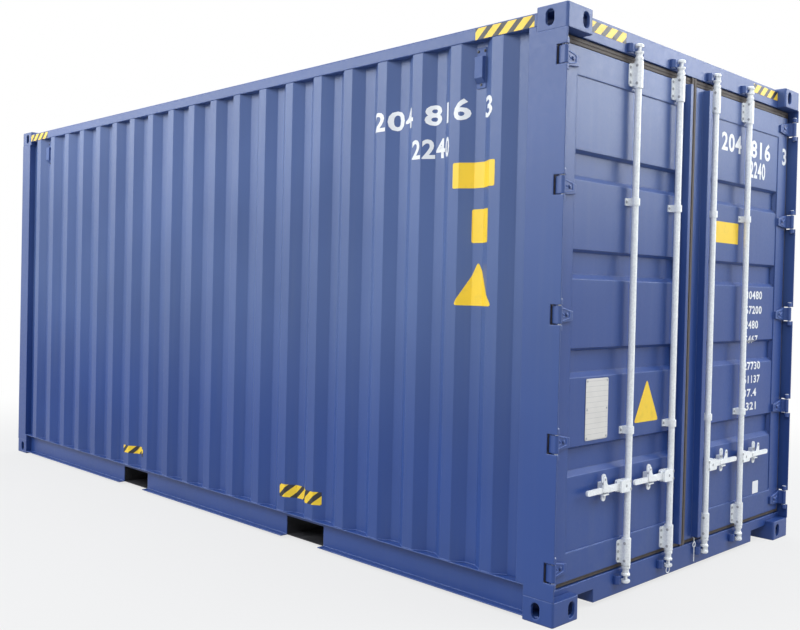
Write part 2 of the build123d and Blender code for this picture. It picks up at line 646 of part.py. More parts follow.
# Door frames: two tube stiles and two channel rails, with a ridge up each lock stile
with BuildPart() as leaf_frame:
    with BuildSketch(Plane.XY.offset(leaf_z0)):
        for y0, y1 in ((LEAF_INNER_Y, panel_y0), (panel_y1, leaf_outer_y)):
            with Locations(((leaf_back_x + door_x) / 2, (y0 + y1) / 2)):
                Rectangle(LEAF_DEPTH, y1 - y0)
                Rectangle(LEAF_DEPTH - 2 * LEAF_WALL, y1 - y0 - 2 * LEAF_WALL,
                          mode=Mode.SUBTRACT)
    extrude(amount=leaf_z1 - leaf_z0)
    with BuildSketch(Plane.XZ.offset(-panel_y1)):
        for z0, z1 in ((leaf_z0, leaf_z0 + LEAF_BOTTOM_RAIL), (leaf_z1 - LEAF_TOP_RAIL, leaf_z1)):
            with Locations(((leaf_back_x + door_x) / 2, (z0 + z1) / 2)):
                Rectangle(LEAF_DEPTH, z1 - z0)
            with Locations(((leaf_back_x + door_x) / 2 - LEAF_WALL, (z0 + z1) / 2)):
                Rectangle(LEAF_DEPTH, z1 - z0 - 2 * LEAF_WALL, mode=Mode.SUBTRACT)
    extrude(amount=panel_y1 - panel_y0)

with BuildPart() as door_frame_left:
    mirror(leaf_frame.part, about=Plane.XZ)
    ridge_x1 = door_x + RIDGE_HEIGHT
    ridge_y0, ridge_y1 = [-LEAF_INNER_Y - RIDGE_INSET - reach for reach in (RIDGE_WIDTH, 0)]
    ridge_z0 = leaf_z0 + RIDGE_END_LOW
    ridge_length = leaf_z1 - RIDGE_END_HIGH - ridge_z0
    with BuildSketch(Plane.XY.offset(ridge_z0)):
        with Locations(((door_x + ridge_x1) / 2, (ridge_y0 + ridge_y1) / 2)):
            Rectangle(RIDGE_HEIGHT, RIDGE_WIDTH)
        with Locations(((door_x + ridge_x1) / 2 - RIDGE_WALL, (ridge_y0 + ridge_y1) / 2)):
            Rectangle(RIDGE_HEIGHT, RIDGE_WIDTH - 2 * RIDGE_WALL, mode=Mode.SUBTRACT)
    extrude(amount=ridge_length)

with BuildPart() as door_frame_right:
    add(leaf_frame.part)
    with BuildSketch(Plane.XY.offset(ridge_z0)):
        strip_y0 = LEAF_INNER_Y + STRIP_INSET
        strip_y1 = strip_y0 + STRIP_WIDTH
        with BuildLine():
            Polyline((door_x, strip_y0), (ridge_x1, strip_y0), (ridge_x1, strip_y1),
                     (panel_x, strip_y1), (panel_x, strip_y1 - RIDGE_WALL),
                     (ridge_x1 - RIDGE_WALL, strip_y1 - RIDGE_WALL),
                     (ridge_x1 - RIDGE_WALL, strip_y0 + RIDGE_WALL),
                     (door_x, strip_y0 + RIDGE_WALL), close=True)
        make_face()
    extrude(amount=ridge_length)

# Door panel: a sheet with recesses pressed in across it
with BuildPart() as door_panel_right:
    mid_y = (panel_y0 + panel_y1) / 2
    recess_width = panel_y1 - panel_y0 - 2 * PAST
    rise = (RECESS_LOWER_SLOPE - RECESS_UPPER_SLOPE) / 2
    with BuildSketch(Plane.YZ.offset(panel_x - SHEET)):
        with Locations((mid_y, (leaf_z0 + LEAF_BOTTOM_RAIL + leaf_z1 - LEAF_TOP_RAIL) / 2)):
            Rectangle(panel_y1 - panel_y0,
                      leaf_z1 - leaf_z0 - LEAF_BOTTOM_RAIL - LEAF_TOP_RAIL)
    extrude(amount=SHEET)
    for face_x, mode in ((panel_x - SHEET, Mode.ADD), (panel_x, Mode.SUBTRACT)):
        for z in recess_levels:
            with BuildSketch(Plane.YZ.offset(face_x)):
                with Locations((mid_y, z)):
                    Rectangle(recess_width, RECESS_HEIGHT)
            with BuildSketch(Plane.YZ.offset(face_x - RECESS_DEPTH)):
                with Locations((mid_y, z + rise)):
                    Rectangle(recess_width - 2 * RECESS_END_SLOPE,
                              RECESS_HEIGHT - RECESS_LOWER_SLOPE - RECESS_UPPER_SLOPE)
            loft(mode=mode)

with BuildPart() as door_panel_left:
    mirror(door_panel_right.part, about=Plane.XZ)

# Hinge blades: a knuckle round the pin, cranked to a tapered blade on the leaf
with BuildPart() as door_hinges_right:
    half = BARREL_HEIGHT / 2
    tip_y = hinge_y - BLADE_LENGTH
    blade_x1 = door_x + BLADE_THICKNESS
    crank_y = hinge_y - BARREL_RADIUS - BLADE_THICKNESS / 6
    for z in hinge_levels:
        with BuildSketch(Plane.XY.offset(z - half)):
            with Locations((hinge_x, hinge_y)):
                Circle(BARREL_RADIUS)
            with BuildLine():
                Polyline((door_x, tip_y), (door_x, hinge_y + BLADE_THICKNESS / 2),
                         (hinge_x - BARREL_RADIUS / 2, hinge_y + BARREL_RADIUS * 0.86),
                         (hinge_x - BARREL_RADIUS / 2, hinge_y - BARREL_RADIUS * 0.86),
                         (blade_x1, crank_y), (blade_x1, tip_y), close=True)
            make_face()
            with Locations((hinge_x, hinge_y)):
                Circle(HINGE_PIN_RADIUS + RUNNING_CLEARANCE, mode=Mode.SUBTRACT)
        extrude(amount=BARREL_HEIGHT)
        with BuildSketch(Plane.YZ.offset(door_x - PAST)):
            with BuildLine():
                Polyline((tip_y - PAST, z + half + PAST), (leaf_outer_y, z + half + PAST),
                         (leaf_outer_y, z + half), (tip_y - PAST, z + half - BLADE_TOP_DROP),
                         close=True)
            make_face()
            with BuildLine():
                Polyline((tip_y - PAST, z - half - PAST), (leaf_outer_y, z - half - PAST),
                         (leaf_outer_y, z - half),
                         (tip_y - PAST, z - half + BLADE_BOTTOM_RISE), close=True)
            make_face()
        extrude(amount=BLADE_THICKNESS + 2 * PAST, mode=Mode.SUBTRACT)

with BuildPart() as door_hinges_left:
    mirror(door_hinges_right.part, about=Plane.XZ)

# Door seal: a ring round the leaf with two beads on its face
with BuildPart() as door_seal_right:
    seal_x1 = door_x - SEAL_SETBACK
    seal_y = (SEAL_MEETING, leaf_outer_y + SEAL_SIDE)
    seal_z = (sill_z1 + SEAL_GAP, header_z0 - SEAL_GAP)
    leaf_y = (LEAF_INNER_Y, leaf_outer_y)
    leaf_z = (leaf_z0, leaf_z1)
    for share, width, x0, depth in ((0.0, 1.0, seal_x1 - SEAL_DEPTH, SEAL_DEPTH),
                                    (0.18, 0.22, seal_x1, SEAL_BEAD_HEIGHT),
                                    (0.60, 0.22, seal_x1, SEAL_BEAD_HEIGHT)):
        with BuildSketch(Plane.YZ.offset(x0)):
            for part_of, mode in ((share, Mode.ADD), (share + width, Mode.SUBTRACT)):
                y0, y1 = [a + (b - a) * part_of for a, b in zip(seal_y, leaf_y)]
                z0, z1 = [a + (b - a) * part_of for a, b in zip(seal_z, leaf_z)]
                with Locations(((y0 + y1) / 2, (z0 + z1) / 2)):
                    Rectangle(y1 - y0, z1 - z0, mode=mode)
        extrude(amount=depth)
    # A lip along the meeting edge stands out past the leaf's face
    block(seal_x1, door_x + SEAL_LIP, SEAL_MEETING, LEAF_INNER_Y, *seal_z)

with BuildPart() as door_seal_left:
    mirror(door_seal_right.part, about=Plane.XZ)

# Rod guides: saddles on a flange at the rod's ends, straps between
with BuildPart() as rod_guides_right:
    bore = ROD_RADIUS + ROD_CLEARANCE
    sleeve = bore + GUIDE_WALL
    ends = (leaf_z0 + END_GUIDE_LOW, leaf_z1 - END_GUIDE_HIGH)
    straps = (leaf_z0 + MID_GUIDE_LOW, leaf_z1 - MID_GUIDE_HIGH)
    for y in (ROD_INNER_Y, ROD_OUTER_Y):
        for z in ends:
            with BuildSketch(Plane.YZ.offset(door_x)):
                with Locations((y, z)):
                    RectangleRounded(2 * END_FLANGE_HALF, END_FLANGE_HEIGHT, GUIDE_ROUND)
            extrude(amount=GUIDE_PLATE)
            with BuildSketch(Plane.XY.offset(z - END_GUIDE_HEIGHT / 2)):
                with Locations((rod_x, y)):
                    Circle(sleeve)
                    Circle(bore, mode=Mode.SUBTRACT)
            extrude(amount=END_GUIDE_HEIGHT)
            with BuildSketch(Plane.XY.offset(z - END_FLANGE_HEIGHT / 2)):
                with Locations(((door_x + rod_x) / 2, y)):
                    Rectangle(rod_x - door_x, 2 * sleeve)
                with Locations((rod_x, y)):
                    Circle(bore, mode=Mode.SUBTRACT)
            extrude(amount=END_FLANGE_HEIGHT)
        for z in straps:
            with BuildSketch(Plane.XY.offset(z - MID_GUIDE_HEIGHT / 2)):
                with Locations((rod_x, y)):
                    Circle(sleeve)
                with Locations(((panel_x + rod_x) / 2, y)):
                    Rectangle(rod_x - panel_x, 2 * sleeve)
                with Locations((panel_x + GUIDE_PLATE / 2, y)):
                    Rectangle(GUIDE_PLATE, 2 * MID_GUIDE_HALF)
                with Locations((rod_x, y)):
                    Circle(bore, mode=Mode.SUBTRACT)
            extrude(amount=MID_GUIDE_HEIGHT)

with BuildPart() as rod_guides_left:
    mirror(rod_guides_right.part, about=Plane.XZ)

# Handle brackets: an upright with an eye, a shelf for the lever and a drilled tab below it
with BuildPart() as handle_brackets_right:
    plate_x1 = lever_x0 - BRACKET_GAP
    shelf_z = handle_z - LEVER_ROOT / 2 - BRACKET_GAP
    for y in (ROD_INNER_Y + BRACKET_REACH, ROD_OUTER_Y + BRACKET_REACH):
        with BuildSketch(Plane.YZ.offset(plate_x1 - BRACKET_PLATE)):
            with Locations((y, handle_z + (BRACKET_TOP - BRACKET_BOTTOM) / 2)):
                SlotOverall(BRACKET_TOP + BRACKET_BOTTOM, BRACKET_POST, rotation=90)
            with Locations((y, handle_z)):
                Trapezoid(BRACKET_WIDTH, BRACKET_WIDTH, 65)
            with Locations((y, handle_z + BRACKET_TOP - BRACKET_POST / 2)):
                Circle(BRACKET_EYE / 2, mode=Mode.SUBTRACT)
            with Locations((y, handle_z - BRACKET_BOTTOM + BRACKET_POST * 0.7)):
                SlotOverall(1.8 * BRACKET_EYE, BRACKET_EYE, rotation=90, mode=Mode.SUBTRACT)
        extrude(amount=BRACKET_PLATE)
        block(panel_x, plate_x1, y - BRACKET_POST / 2, y + BRACKET_POST / 2,
              shelf_z - SHELF_PLATE, handle_z + BRACKET_POST)
        with BuildSketch(Plane.XY.offset(shelf_z - SHELF_PLATE)):
            with Locations(((plate_x1 - PAST + lever_x0 + LEVER_THICKNESS) / 2, y)):
                RectangleRounded(lever_x0 + LEVER_THICKNESS - plate_x1 + PAST, BRACKET_WIDTH,
                                 SHELF_PLATE)
        extrude(amount=SHELF_PLATE)

with BuildPart() as handle_brackets_left:
    mirror(handle_brackets_right.part, about=Plane.XZ)

pieces = {
    "bottom_castings": bottom_castings,
    "top_castings": top_castings,
    "rear_post_left": rear_post_left,
    "rear_post_right": rear_post_right,
    "hinge_pins": hinge_pins,
    "front_post_left": front_post_left,
    "front_post_right": front_post_right,
    "top_rail_left": top_rail_left,
    "top_rail_right": top_rail_right,
    "bottom_rail_left": bottom_rail_left,
    "bottom_rail_right": bottom_rail_right,
    "side_wall_left": side_wall_left,
    "side_wall_right": side_wall_right,
    "front_wall": front_wall,
    "front_sill": front_sill,
    "front_header": front_header,
    "door_sill": door_sill,
    "door_header": door_header,
    "rod_keepers": rod_keepers,
    "roof_panel": roof_panel,
    "floor_boards": floor_boards,
    "cross_members": cross_members,
    "fork_pockets": fork_pockets,
    "vents": vents,
    "door_frame_left": door_frame_left,
    "door_frame_right": door_frame_right,
    "door_panel_left": door_panel_left,
    "door_panel_right": door_panel_right,
    "door_hinges_left": door_hinges_left,
    "door_hinges_right": door_hinges_right,
    "door_seal_left": door_seal_left,
    "door_seal_right": door_seal_right,
    "rod_guides_left": rod_guides_left,
    "rod_guides_right": rod_guides_right,
    "handle_brackets_left": handle_brackets_left,
    "handle_brackets_right": handle_brackets_right,
}

# Lock rods: a turned bar with a cam at each end and a forked hub for its handle. The handles
# point away from the meeting line, so their side follows the rod's.
rod_places = (-ROD_OUTER_Y, -ROD_INNER_Y, ROD_INNER_Y, ROD_OUTER_Y)
for number, y in enumerate(rod_places, start=1):
    side = 1 if y > 0 else -1
    pin_y = y + side * HANDLE_PIN_REACH
    rod_axis = Axis((rod_x, y, 0), (0, 0, 1))
    with BuildPart() as lock_rod:
        with BuildSketch(Plane((rod_x, y, 0), x_dir=(1, 0, 0), z_dir=(0, -1, 0))):
            foot = rod_z0 - CAM_DISC - CAM_NECK
            top = rod_z1 + CAM_DISC + CAM_NECK
            with BuildLine():
                Polyline((0, foot - CAM_DISC), (CAM_RADIUS - CAM_DISC / 3, foot - CAM_DISC),
                         (CAM_RADIUS, foot - CAM_DISC * 2 / 3), (CAM_RADIUS, foot),
                         (CAM_NECK_RADIUS, foot), (CAM_NECK_RADIUS, foot + CAM_NECK),
                         (CAM_RADIUS, foot + CAM_NECK), (CAM_RADIUS, rod_z0 - CAM_DISC / 2),
                         (ROD_RADIUS, rod_z0), (ROD_RADIUS, rod_z1),
                         (CAM_RADIUS, rod_z1 + CAM_DISC / 2), (CAM_RADIUS, top - CAM_NECK),
                         (CAM_NECK_RADIUS, top - CAM_NECK), (CAM_NECK_RADIUS, top),
                         (CAM_RADIUS, top), (CAM_RADIUS, top + CAM_DISC * 2 / 3),
                         (CAM_RADIUS - CAM_DISC / 3, top + CAM_DISC), (0, top + CAM_DISC),
                         close=True)
            make_face()
        revolve(axis=rod_axis)
        for z in (foot, top - CAM_NECK):
            with BuildSketch(Plane.XY.offset(z)):
                with Locations((rod_x, y)):
                    Circle(CAM_NECK_RADIUS)
                with Locations((rod_x + CAM_LOBE_REACH * 0.7, y + side * CAM_LOBE_REACH * 0.7)):
                    Circle(CAM_LOBE_RADIUS)
                make_hull()
            extrude(amount=CAM_NECK)
        with BuildSketch(Plane.YZ.offset(rod_x - HUB_DEPTH / 2)):
            with Locations((y + side * HUB_LENGTH / 2, handle_z)):
                RectangleRounded(HUB_LENGTH, HUB_HEIGHT, HUB_ROUND)
        extrude(amount=HUB_DEPTH)
        fork_y = pin_y - side * (LEVER_EYE_RADIUS + HUB_GAP)
        block(lever_x0 - HUB_GAP, lever_x0 + LEVER_THICKNESS + HUB_GAP, fork_y,
              y + side * (HUB_LENGTH + PAST), handle_z - HUB_HEIGHT, handle_z + HUB_HEIGHT,
              mode=Mode.SUBTRACT)
        with BuildSketch(Plane.YZ.offset(rod_x - HUB_DEPTH / 2)):
            with Locations((pin_y, handle_z)):
                Circle(HANDLE_PIN_RADIUS)
        extrude(amount=HUB_DEPTH)
    pieces[f"lock_rod_{number}"] = lock_rod

    # Handle lever: an eye on the hub's pin, a deep root and a narrower rounded grip
    with BuildPart() as handle:
        root_y = y + side * (HUB_LENGTH + LEVER_ROOT_LENGTH)
        tip_y = y + side * LEVER_LENGTH
        grip_z = handle_z
        with BuildSketch(Plane.YZ.offset(lever_x0)):
            with Locations((pin_y, handle_z)):
                Circle(LEVER_EYE_RADIUS)
            with BuildLine():
                Polyline((pin_y, handle_z - LEVER_EYE_RADIUS),
                         (y + side * HUB_LENGTH, handle_z - LEVER_ROOT / 2),
                         (root_y, handle_z - LEVER_ROOT / 2),
                         (root_y + side * LEVER_ROOT, grip_z - LEVER_GRIP / 2),
                         (root_y + side * LEVER_ROOT, grip_z + LEVER_GRIP / 2),
                         (root_y, handle_z + LEVER_ROOT / 2),
                         (y + side * HUB_LENGTH, handle_z + LEVER_ROOT / 2),
                         (pin_y, handle_z + LEVER_EYE_RADIUS), close=True)
            make_face()
            with Locations(((root_y + side * LEVER_GRIP / 2 + tip_y) / 2, grip_z)):
                SlotOverall(abs(tip_y - root_y) - LEVER_GRIP / 2, LEVER_GRIP)
            with Locations((pin_y, handle_z)):
                Circle(HANDLE_PIN_RADIUS + RUNNING_CLEARANCE, mode=Mode.SUBTRACT)
        extrude(amount=LEVER_THICKNESS)
    pieces[f"handle_{number}"] = handle

for name, piece in pieces.items():
    piece.part.label = name
    export_step(piece.part, f"parts/{name}.step")
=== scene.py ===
"""The looks of a steel freight container: its finishes, marks, fasteners, weld beads and studio."""

import json
import logging
import math
from dataclasses import dataclass
from enum import Enum, IntEnum
from itertools import product
from typing import Any, Sequence

import bmesh
import bpy
from mathutils import Matrix, Vector
from mathutils.bvhtree import BVHTree


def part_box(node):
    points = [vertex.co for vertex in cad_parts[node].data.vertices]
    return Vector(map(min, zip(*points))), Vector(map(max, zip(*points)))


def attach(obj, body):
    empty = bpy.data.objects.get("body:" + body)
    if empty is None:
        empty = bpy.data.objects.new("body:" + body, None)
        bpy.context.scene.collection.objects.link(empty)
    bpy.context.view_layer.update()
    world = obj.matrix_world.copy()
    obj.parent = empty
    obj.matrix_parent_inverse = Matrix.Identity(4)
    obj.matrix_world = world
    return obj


Colour = tuple[float, float, float]
Number = "Value | float"
Place = tuple[float, float, float]
Box = tuple[float, float, float, float]

LOG = logging.getLogger("container")
LOG.setLevel(logging.INFO)

# How far from the middle a mark starts, beside a long side or beyond an end, in metres.
BESIDE = 2.0
BEYOND = 4.0
RAY_START = 6.0
# How far films, digits and fasteners stand off the face that they are dropped on.
FILM_LIFT = 0.0008
DIGIT_LIFT = 0.0012
RAIL_LIFT = 0.0004
SEAT_LIFT = 0.001

DIGIT_SPACING = 1.12
DIGIT_STEPS = 3
DIGIT_BOLDNESS = 0.028

OUT = Vector((1.0, 0.0, 0.0))
UP = Vector((0.0, 0.0, 1.0))
HINGE_LEVELS = [0.251 + k * 0.6015 for k in range(5)]
ROD_INNER = 0.203
ROD_OUTER = 0.626
ROD_AXIS_X = 3.005
LEVER_LEVEL = 0.584

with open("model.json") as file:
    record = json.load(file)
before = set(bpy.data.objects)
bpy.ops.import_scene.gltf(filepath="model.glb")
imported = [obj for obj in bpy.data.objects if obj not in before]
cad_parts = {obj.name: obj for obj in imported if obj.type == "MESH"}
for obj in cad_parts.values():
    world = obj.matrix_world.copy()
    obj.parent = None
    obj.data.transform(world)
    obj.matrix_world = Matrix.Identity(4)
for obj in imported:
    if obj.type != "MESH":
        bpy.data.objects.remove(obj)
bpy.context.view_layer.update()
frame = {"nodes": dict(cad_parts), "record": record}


class Side(Enum):
    """The long sides of the container, by the sign of Y."""

    LEFT = -1
    RIGHT = 1


class Axis(IntEnum):
    """The axes, by their place in a vector."""

    X = 0
    Y = 1
    Z = 2


class Value:
    """A shader socket that can be used in Python maths."""

    def __init__(self, graph: "Nodes", socket: bpy.types.NodeSocket) -> None:
        """Wraps a socket of a tree.

        Args:
            graph: the tree that the socket belongs to.
            socket: an output socket.
        """
        self.graph = graph
        self.socket = socket

    def _maths(self, operation: str, first: Number, second: Number) -> "Value":
        """Adds one Math node.

        Args:
            operation: the node's operation.
            first: the first operand.
            second: the second operand.

        Returns:
            The node's result.
        """
        node = self.graph.node("ShaderNodeMath", {"operation": operation}, {0: first, 1: second})
        return Value(self.graph, node.outputs[0])

    def __add__(self, other: Number) -> "Value":
        """The sum of the value and another."""
        return self._maths("ADD", self, other)

    def __radd__(self, other: Number) -> "Value":
        """The sum of a number and the value."""
        return self._maths("ADD", other, self)

    def __sub__(self, other: Number) -> "Value":
        """The value less another."""
        return self._maths("SUBTRACT", self, other)

    def __rsub__(self, other: Number) -> "Value":
        """A number less the value."""
        return self._maths("SUBTRACT", other, self)

    def __mul__(self, other: Number) -> "Value":
        """The product of the value and another."""
        return self._maths("MULTIPLY", self, other)

    def __truediv__(self, other: Number) -> "Value":
        """The value divided by another."""
        return self._maths("DIVIDE", self, other)

    def over(self, limit: Number) -> "Value":
        """One where the value is over a limit, and else zero."""
        return self._maths("GREATER_THAN", self, limit)

    def wrapped(self) -> "Value":
        """The value's part after the decimal point."""
        return self._maths("FRACT", self, 0.0)

    def larger(self, other: Number) -> "Value":
        """The larger of the value and another."""
        return self._maths("MAXIMUM", self, other)

    def distance(self, other: Number) -> "Value":
        """How far the value is from another, without sign."""
        return self._maths("ABSOLUTE", self - other, 0.0)

    def fade(self, low: float, high: float) -> "Value":
        """A smooth ramp of the value.

        Args:
            low: the value at which the ramp is zero.
            high: the value at which the ramp is one.

        Returns:
            The ramp, from zero to one.
        """
        node = self.graph.node("ShaderNodeMapRange", {"interpolation_type": "SMOOTHSTEP"},
                               {"Value": self, "From Min": low, "From Max": high})
        return Value(self.graph, node.outputs["Result"])


class Nodes:
    """Makes the nodes of one tree, whatever the tree is for."""

    def __init__(self, tree: bpy.types.NodeTree) -> None:
        """Empties the tree.

        Args:
            tree: the tree.
        """
        self.tree = tree
        tree.nodes.clear()

    def node(self, kind: str, settings: dict[str, Any] | None = None,
             sockets: dict[str | int, Any] | None = None) -> bpy.types.Node:
        """Makes a node.

        Args:
            kind: the node's type.
            settings: its properties, which are set first.
            sockets: numbers, colours or links for its inputs.

        Returns:
            The node.
        """
        made = self.tree.nodes.new(kind)
        for name, setting in (settings or {}).items():
            setattr(made, name, setting)
        for name, given in (sockets or {}).items():
            if isinstance(given, Value):
                given = given.socket
            if isinstance(given, bpy.types.NodeSocket):
                self.tree.links.new(given, made.inputs[name])
            elif isinstance(given, tuple) and made.inputs[name].type == "RGBA":
                made.inputs[name].default_value = (*given, 1.0)
            else:
                made.inputs[name].default_value = given
        return made

    def in_view(self) -> Value:
        """One where a ray is the camera's own, or a mirrored or refracted one."""
        path = self.node("ShaderNodeLightPath").outputs
        seen = Value(self, path["Is Camera Ray"]).larger(Value(self, path["Is Glossy Ray"]))
        return seen.larger(Value(self, path["Is Transmission Ray"]))


class Graph(Nodes):
    """The node tree of one material."""

    def __init__(self, name: str) -> None:
        """Makes an empty material.

        Args:
            name: the material's name.
        """
        self.material = bpy.data.materials.new(name)
        self.material.use_nodes = True
        super().__init__(self.material.node_tree)
        self.here = self.node("ShaderNodeTexCoord").outputs["Object"]

    def part(self, axis: str) -> Value:
        """One Object coordinate.

        Args:
            axis: X, Y or Z.

        Returns:
            The coordinate, in metres.
        """
        split = self.node("ShaderNodeSeparateXYZ", sockets={0: self.here})
        return Value(self, split.outputs[axis])

    def noise(self, scale: float, detail: float = 2.0, stretch: Colour = (1.0, 1.0, 1.0),
              roughness: float = 0.5) -> Value:
        """Noise over the Object coordinates.

        Args:
            scale: its scale, in repeats to the metre.
            detail: its octaves.
            stretch: a scale for each axis, less than one along a streak.
            roughness: the weight of its finer octaves.

        Returns:
            The noise, about 0.5 on average.
        """
        place = self.node("ShaderNodeMapping", sockets={"Vector": self.here, "Scale": stretch})
        node = self.node("ShaderNodeTexNoise", sockets={
            "Vector": place.outputs[0], "Scale": scale, "Detail": detail, "Roughness": roughness})
        return Value(self, node.outputs["Fac"])

    def cells(self, scale: float) -> Value:
        """Flat cells of different brightness over the Object coordinates.

        Args:
            scale: cells to the metre.

        Returns:
            One value for each cell.
        """
        node = self.node("ShaderNodeTexVoronoi", sockets={"Vector": self.here, "Scale": scale})
        split = self.node("ShaderNodeSeparateColor", sockets={0: node.outputs["Color"]})
        return Value(self, split.outputs[0])

    def mix(self, factor: Number, first: Any, second: Any) -> Value:
        """Mixes two colours.

        Args:
            factor: how much of the second.
            first: a colour or a link.
            second: a colour or a link.

        Returns:
            The mixed colour.
        """
        node = self.node("ShaderNodeMix", {"data_type": "RGBA"},
                         {0: factor, 6: first, 7: second})
        return Value(self, node.outputs[2])

    def bump(self, height: Value, depth: float, under: Value | None = None) -> Value:
        """Turns a height into a normal.

        Args:
            height: the height, from zero to one.
            depth: what one is, in metres.
            under: a normal that the bump goes on top of.

        Returns:
            The normal.
        """
        sockets: dict[str, Any] = {"Height": height, "Distance": depth, "Strength": 1.0}
        if under is not None:
            sockets["Normal"] = under
        return Value(self, self.node("ShaderNodeBump", sockets=sockets).outputs[0])

    def rounded_edges(self, radius: float) -> tuple[Value, Value]:
        """A normal that rounds sharp edges, and where edges that face up are.

        Args:
            radius: the radius of the rounding, in metres.

        Returns:
            The normal, and a mask that is one on an edge that faces up.
        """
        soft = self.node("ShaderNodeBevel", {"samples": 4}, {"Radius": radius})
        flat = self.node("ShaderNodeNewGeometry")
        dot = self.node("ShaderNodeVectorMath", {"operation": "DOT_PRODUCT"}, {
            0: soft.outputs[0], 1: flat.outputs["True Normal"]})
        bend = 1.0 - Value(self, dot.outputs["Value"])
        split = self.node("ShaderNodeSeparateXYZ", sockets={0: soft.outputs[0]})
        up = Value(self, split.outputs["Z"]).fade(-0.12, 0.30)
        return Value(self, soft.outputs[0]), bend.fade(0.006, 0.08) * up

    def surface(self, **sockets: Any) -> bpy.types.Material:
        """Ends the graph in a Principled surface.

        Args:
            sockets: its inputs, with an underscore for each space.

        Returns:
            The finished material.
        """
        named = {name.replace("_", " "): given for name, given in sockets.items()}
        shader = self.node("ShaderNodeBsdfPrincipled", sockets=named)
        self.node("ShaderNodeOutputMaterial", sockets={0: shader.outputs[0]})
        return self.material


def shade(colour: Colour, factor: float) -> Colour:
    """A lighter or darker form of a colour.

    Args:
        colour: the colour.
        factor: what its parts are multiplied by.

    Returns:
        The new colour.
    """
    return tuple(min(1.0, part * factor) for part in colour)


BLUE: Colour = (0.023, 0.062, 0.242)
DUST: Colour = (0.130, 0.160, 0.230)
# Painted sheen: the pale blue-grey that the paint is mixed towards higher up, standing in for sky
# glare.
TOP_SHEEN_TONE: Colour = (0.420, 0.540, 0.650)
YELLOW: Colour = (0.930, 0.620, 0.030)


@dataclass(frozen=True)
class SteelPaint:
    """Semi-gloss paint on steel, with faint runs, dust low down, a fine orange peel, a painted
    sheen that makes it paler higher up and a painted highlight on edges that face up.
    """

    colour: Colour = BLUE
    streak: float = 0.05
    dust: float = 0.08
    dust_top: float = 0.40
    # Painted sheen: how much the paint is lightened towards the top, and between which heights.
    top_sheen: float = 0.10
    top_sheen_span: tuple[float, float] = (0.5, 1.7)
    ripple: float = 0.0
    scuff: float = 0.12
    roughness: float = 0.34
    edge: float = 0.006
    # Painted highlight: the light blue that edges facing up are lightened towards, standing in for
    # sky caught on rounded edges.
    edge_highlight_tone: Colour = (0.150, 0.225, 0.520)

    def material(self, name: str) -> bpy.types.Material:
        """Makes the finish.

        Args:
            name: the material's name.

        Returns:
            The material.
        """
        graph = Graph(name)
        broad = graph.noise(0.9, 3.0)
        tone = graph.mix(broad.fade(0.3, 0.7), shade(self.colour, 0.93), shade(self.colour, 1.07))
        runs = graph.noise(26.0, 4.0, (1.0, 1.0, 0.035))
        tone = graph.mix(runs.fade(0.45, 0.75) * self.streak, tone, DUST)
        low = 1.0 - graph.part("Z").fade(0.02, self.dust_top)
        powder = low * graph.noise(7.0, 5.0).fade(0.35, 0.75) * self.dust
        tone = graph.mix(powder, tone, DUST)
        # Painted sheen: the paint gets paler and greyer higher up, standing in for the sky's glare
        # on the upper parts.
        top_sheen_mask = graph.part("Z").fade(*self.top_sheen_span) * (broad.fade(0.2, 0.8) * 0.3 + 0.85)
        tone = graph.mix(top_sheen_mask * self.top_sheen, tone, TOP_SHEEN_TONE)
        scratch = graph.noise(34.0, 6.0, (0.12, 0.12, 1.0), 0.7).fade(0.68, 0.74) * self.scuff
        tone = graph.mix(scratch, tone, shade(DUST, 1.5))
        soft, edge = graph.rounded_edges(self.edge)
        # Painted highlight: edges that face up are lightened towards a light blue, with some noise,
        # standing in for the sky that they catch.
        painted_edge_highlight = edge * (graph.noise(18.0, 5.0).fade(0.30, 0.75) * 0.35 + 0.45)
        tone = graph.mix(painted_edge_highlight, tone, self.edge_highlight_tone)
        mottle = graph.noise(60.0, 4.0).fade(0.2, 0.8)
        peel = graph.bump(graph.noise(420.0, 2.0), 0.00012, soft)
        if self.ripple:
            peel = graph.bump(graph.noise(3.2, 1.5, (1.0, 1.0, 0.45)), self.ripple, peel)
        return graph.surface(
            Base_Color=tone, Normal=peel, Specular_IOR_Level=0.42,
            Roughness=self.roughness + mottle * 0.10 + powder * 0.5 + scratch * 0.3)


@dataclass(frozen=True)
class WaxedSteel:
    """Black wax sprayed on the underside, uneven and half matt."""

    colour: Colour = (0.018, 0.018, 0.021)

    def material(self, name: str) -> bpy.types.Material:
        """Makes the finish.

        Args:
            name: the material's name.

        Returns:
            The material.
        """
        graph = Graph(name)
        spray = graph.noise(14.0, 5.0).fade(0.3, 0.7)
        tone = graph.mix(spray, self.colour, shade(self.colour, 1.9))
        grit = graph.noise(90.0, 4.0).fade(0.55, 0.8)
        tone = graph.mix(grit * 0.35, tone, (0.12, 0.105, 0.09))
        return graph.surface(Base_Color=tone, Roughness=0.42 + spray * 0.3,
                             Normal=graph.bump(graph.noise(110.0, 3.0), 0.0006))


@dataclass(frozen=True)
class Zinc:
    """Hot dipped zinc with its spangle, dulled where it is handled."""

    colour: Colour = (0.92, 0.94, 0.96)
    spangle: float = 130.0

    def material(self, name: str) -> bpy.types.Material:
        """Makes the finish.

        Args:
            name: the material's name.

        Returns:
            The material.
        """
        graph = Graph(name)
        flake = graph.cells(self.spangle)
        tone = graph.mix(flake, shade(self.colour, 0.92), shade(self.colour, 1.06))
        grey = graph.noise(9.0, 4.0).fade(0.45, 0.80)
        tone = graph.mix(grey * 0.22, tone, shade(self.colour, 0.62))
        return graph.surface(Base_Color=tone, Metallic=0.05 + flake * 0.10,
                             Roughness=0.30 + grey * 0.22 + flake * 0.08,
                             Normal=graph.bump(graph.noise(240.0, 2.0), 0.00015))


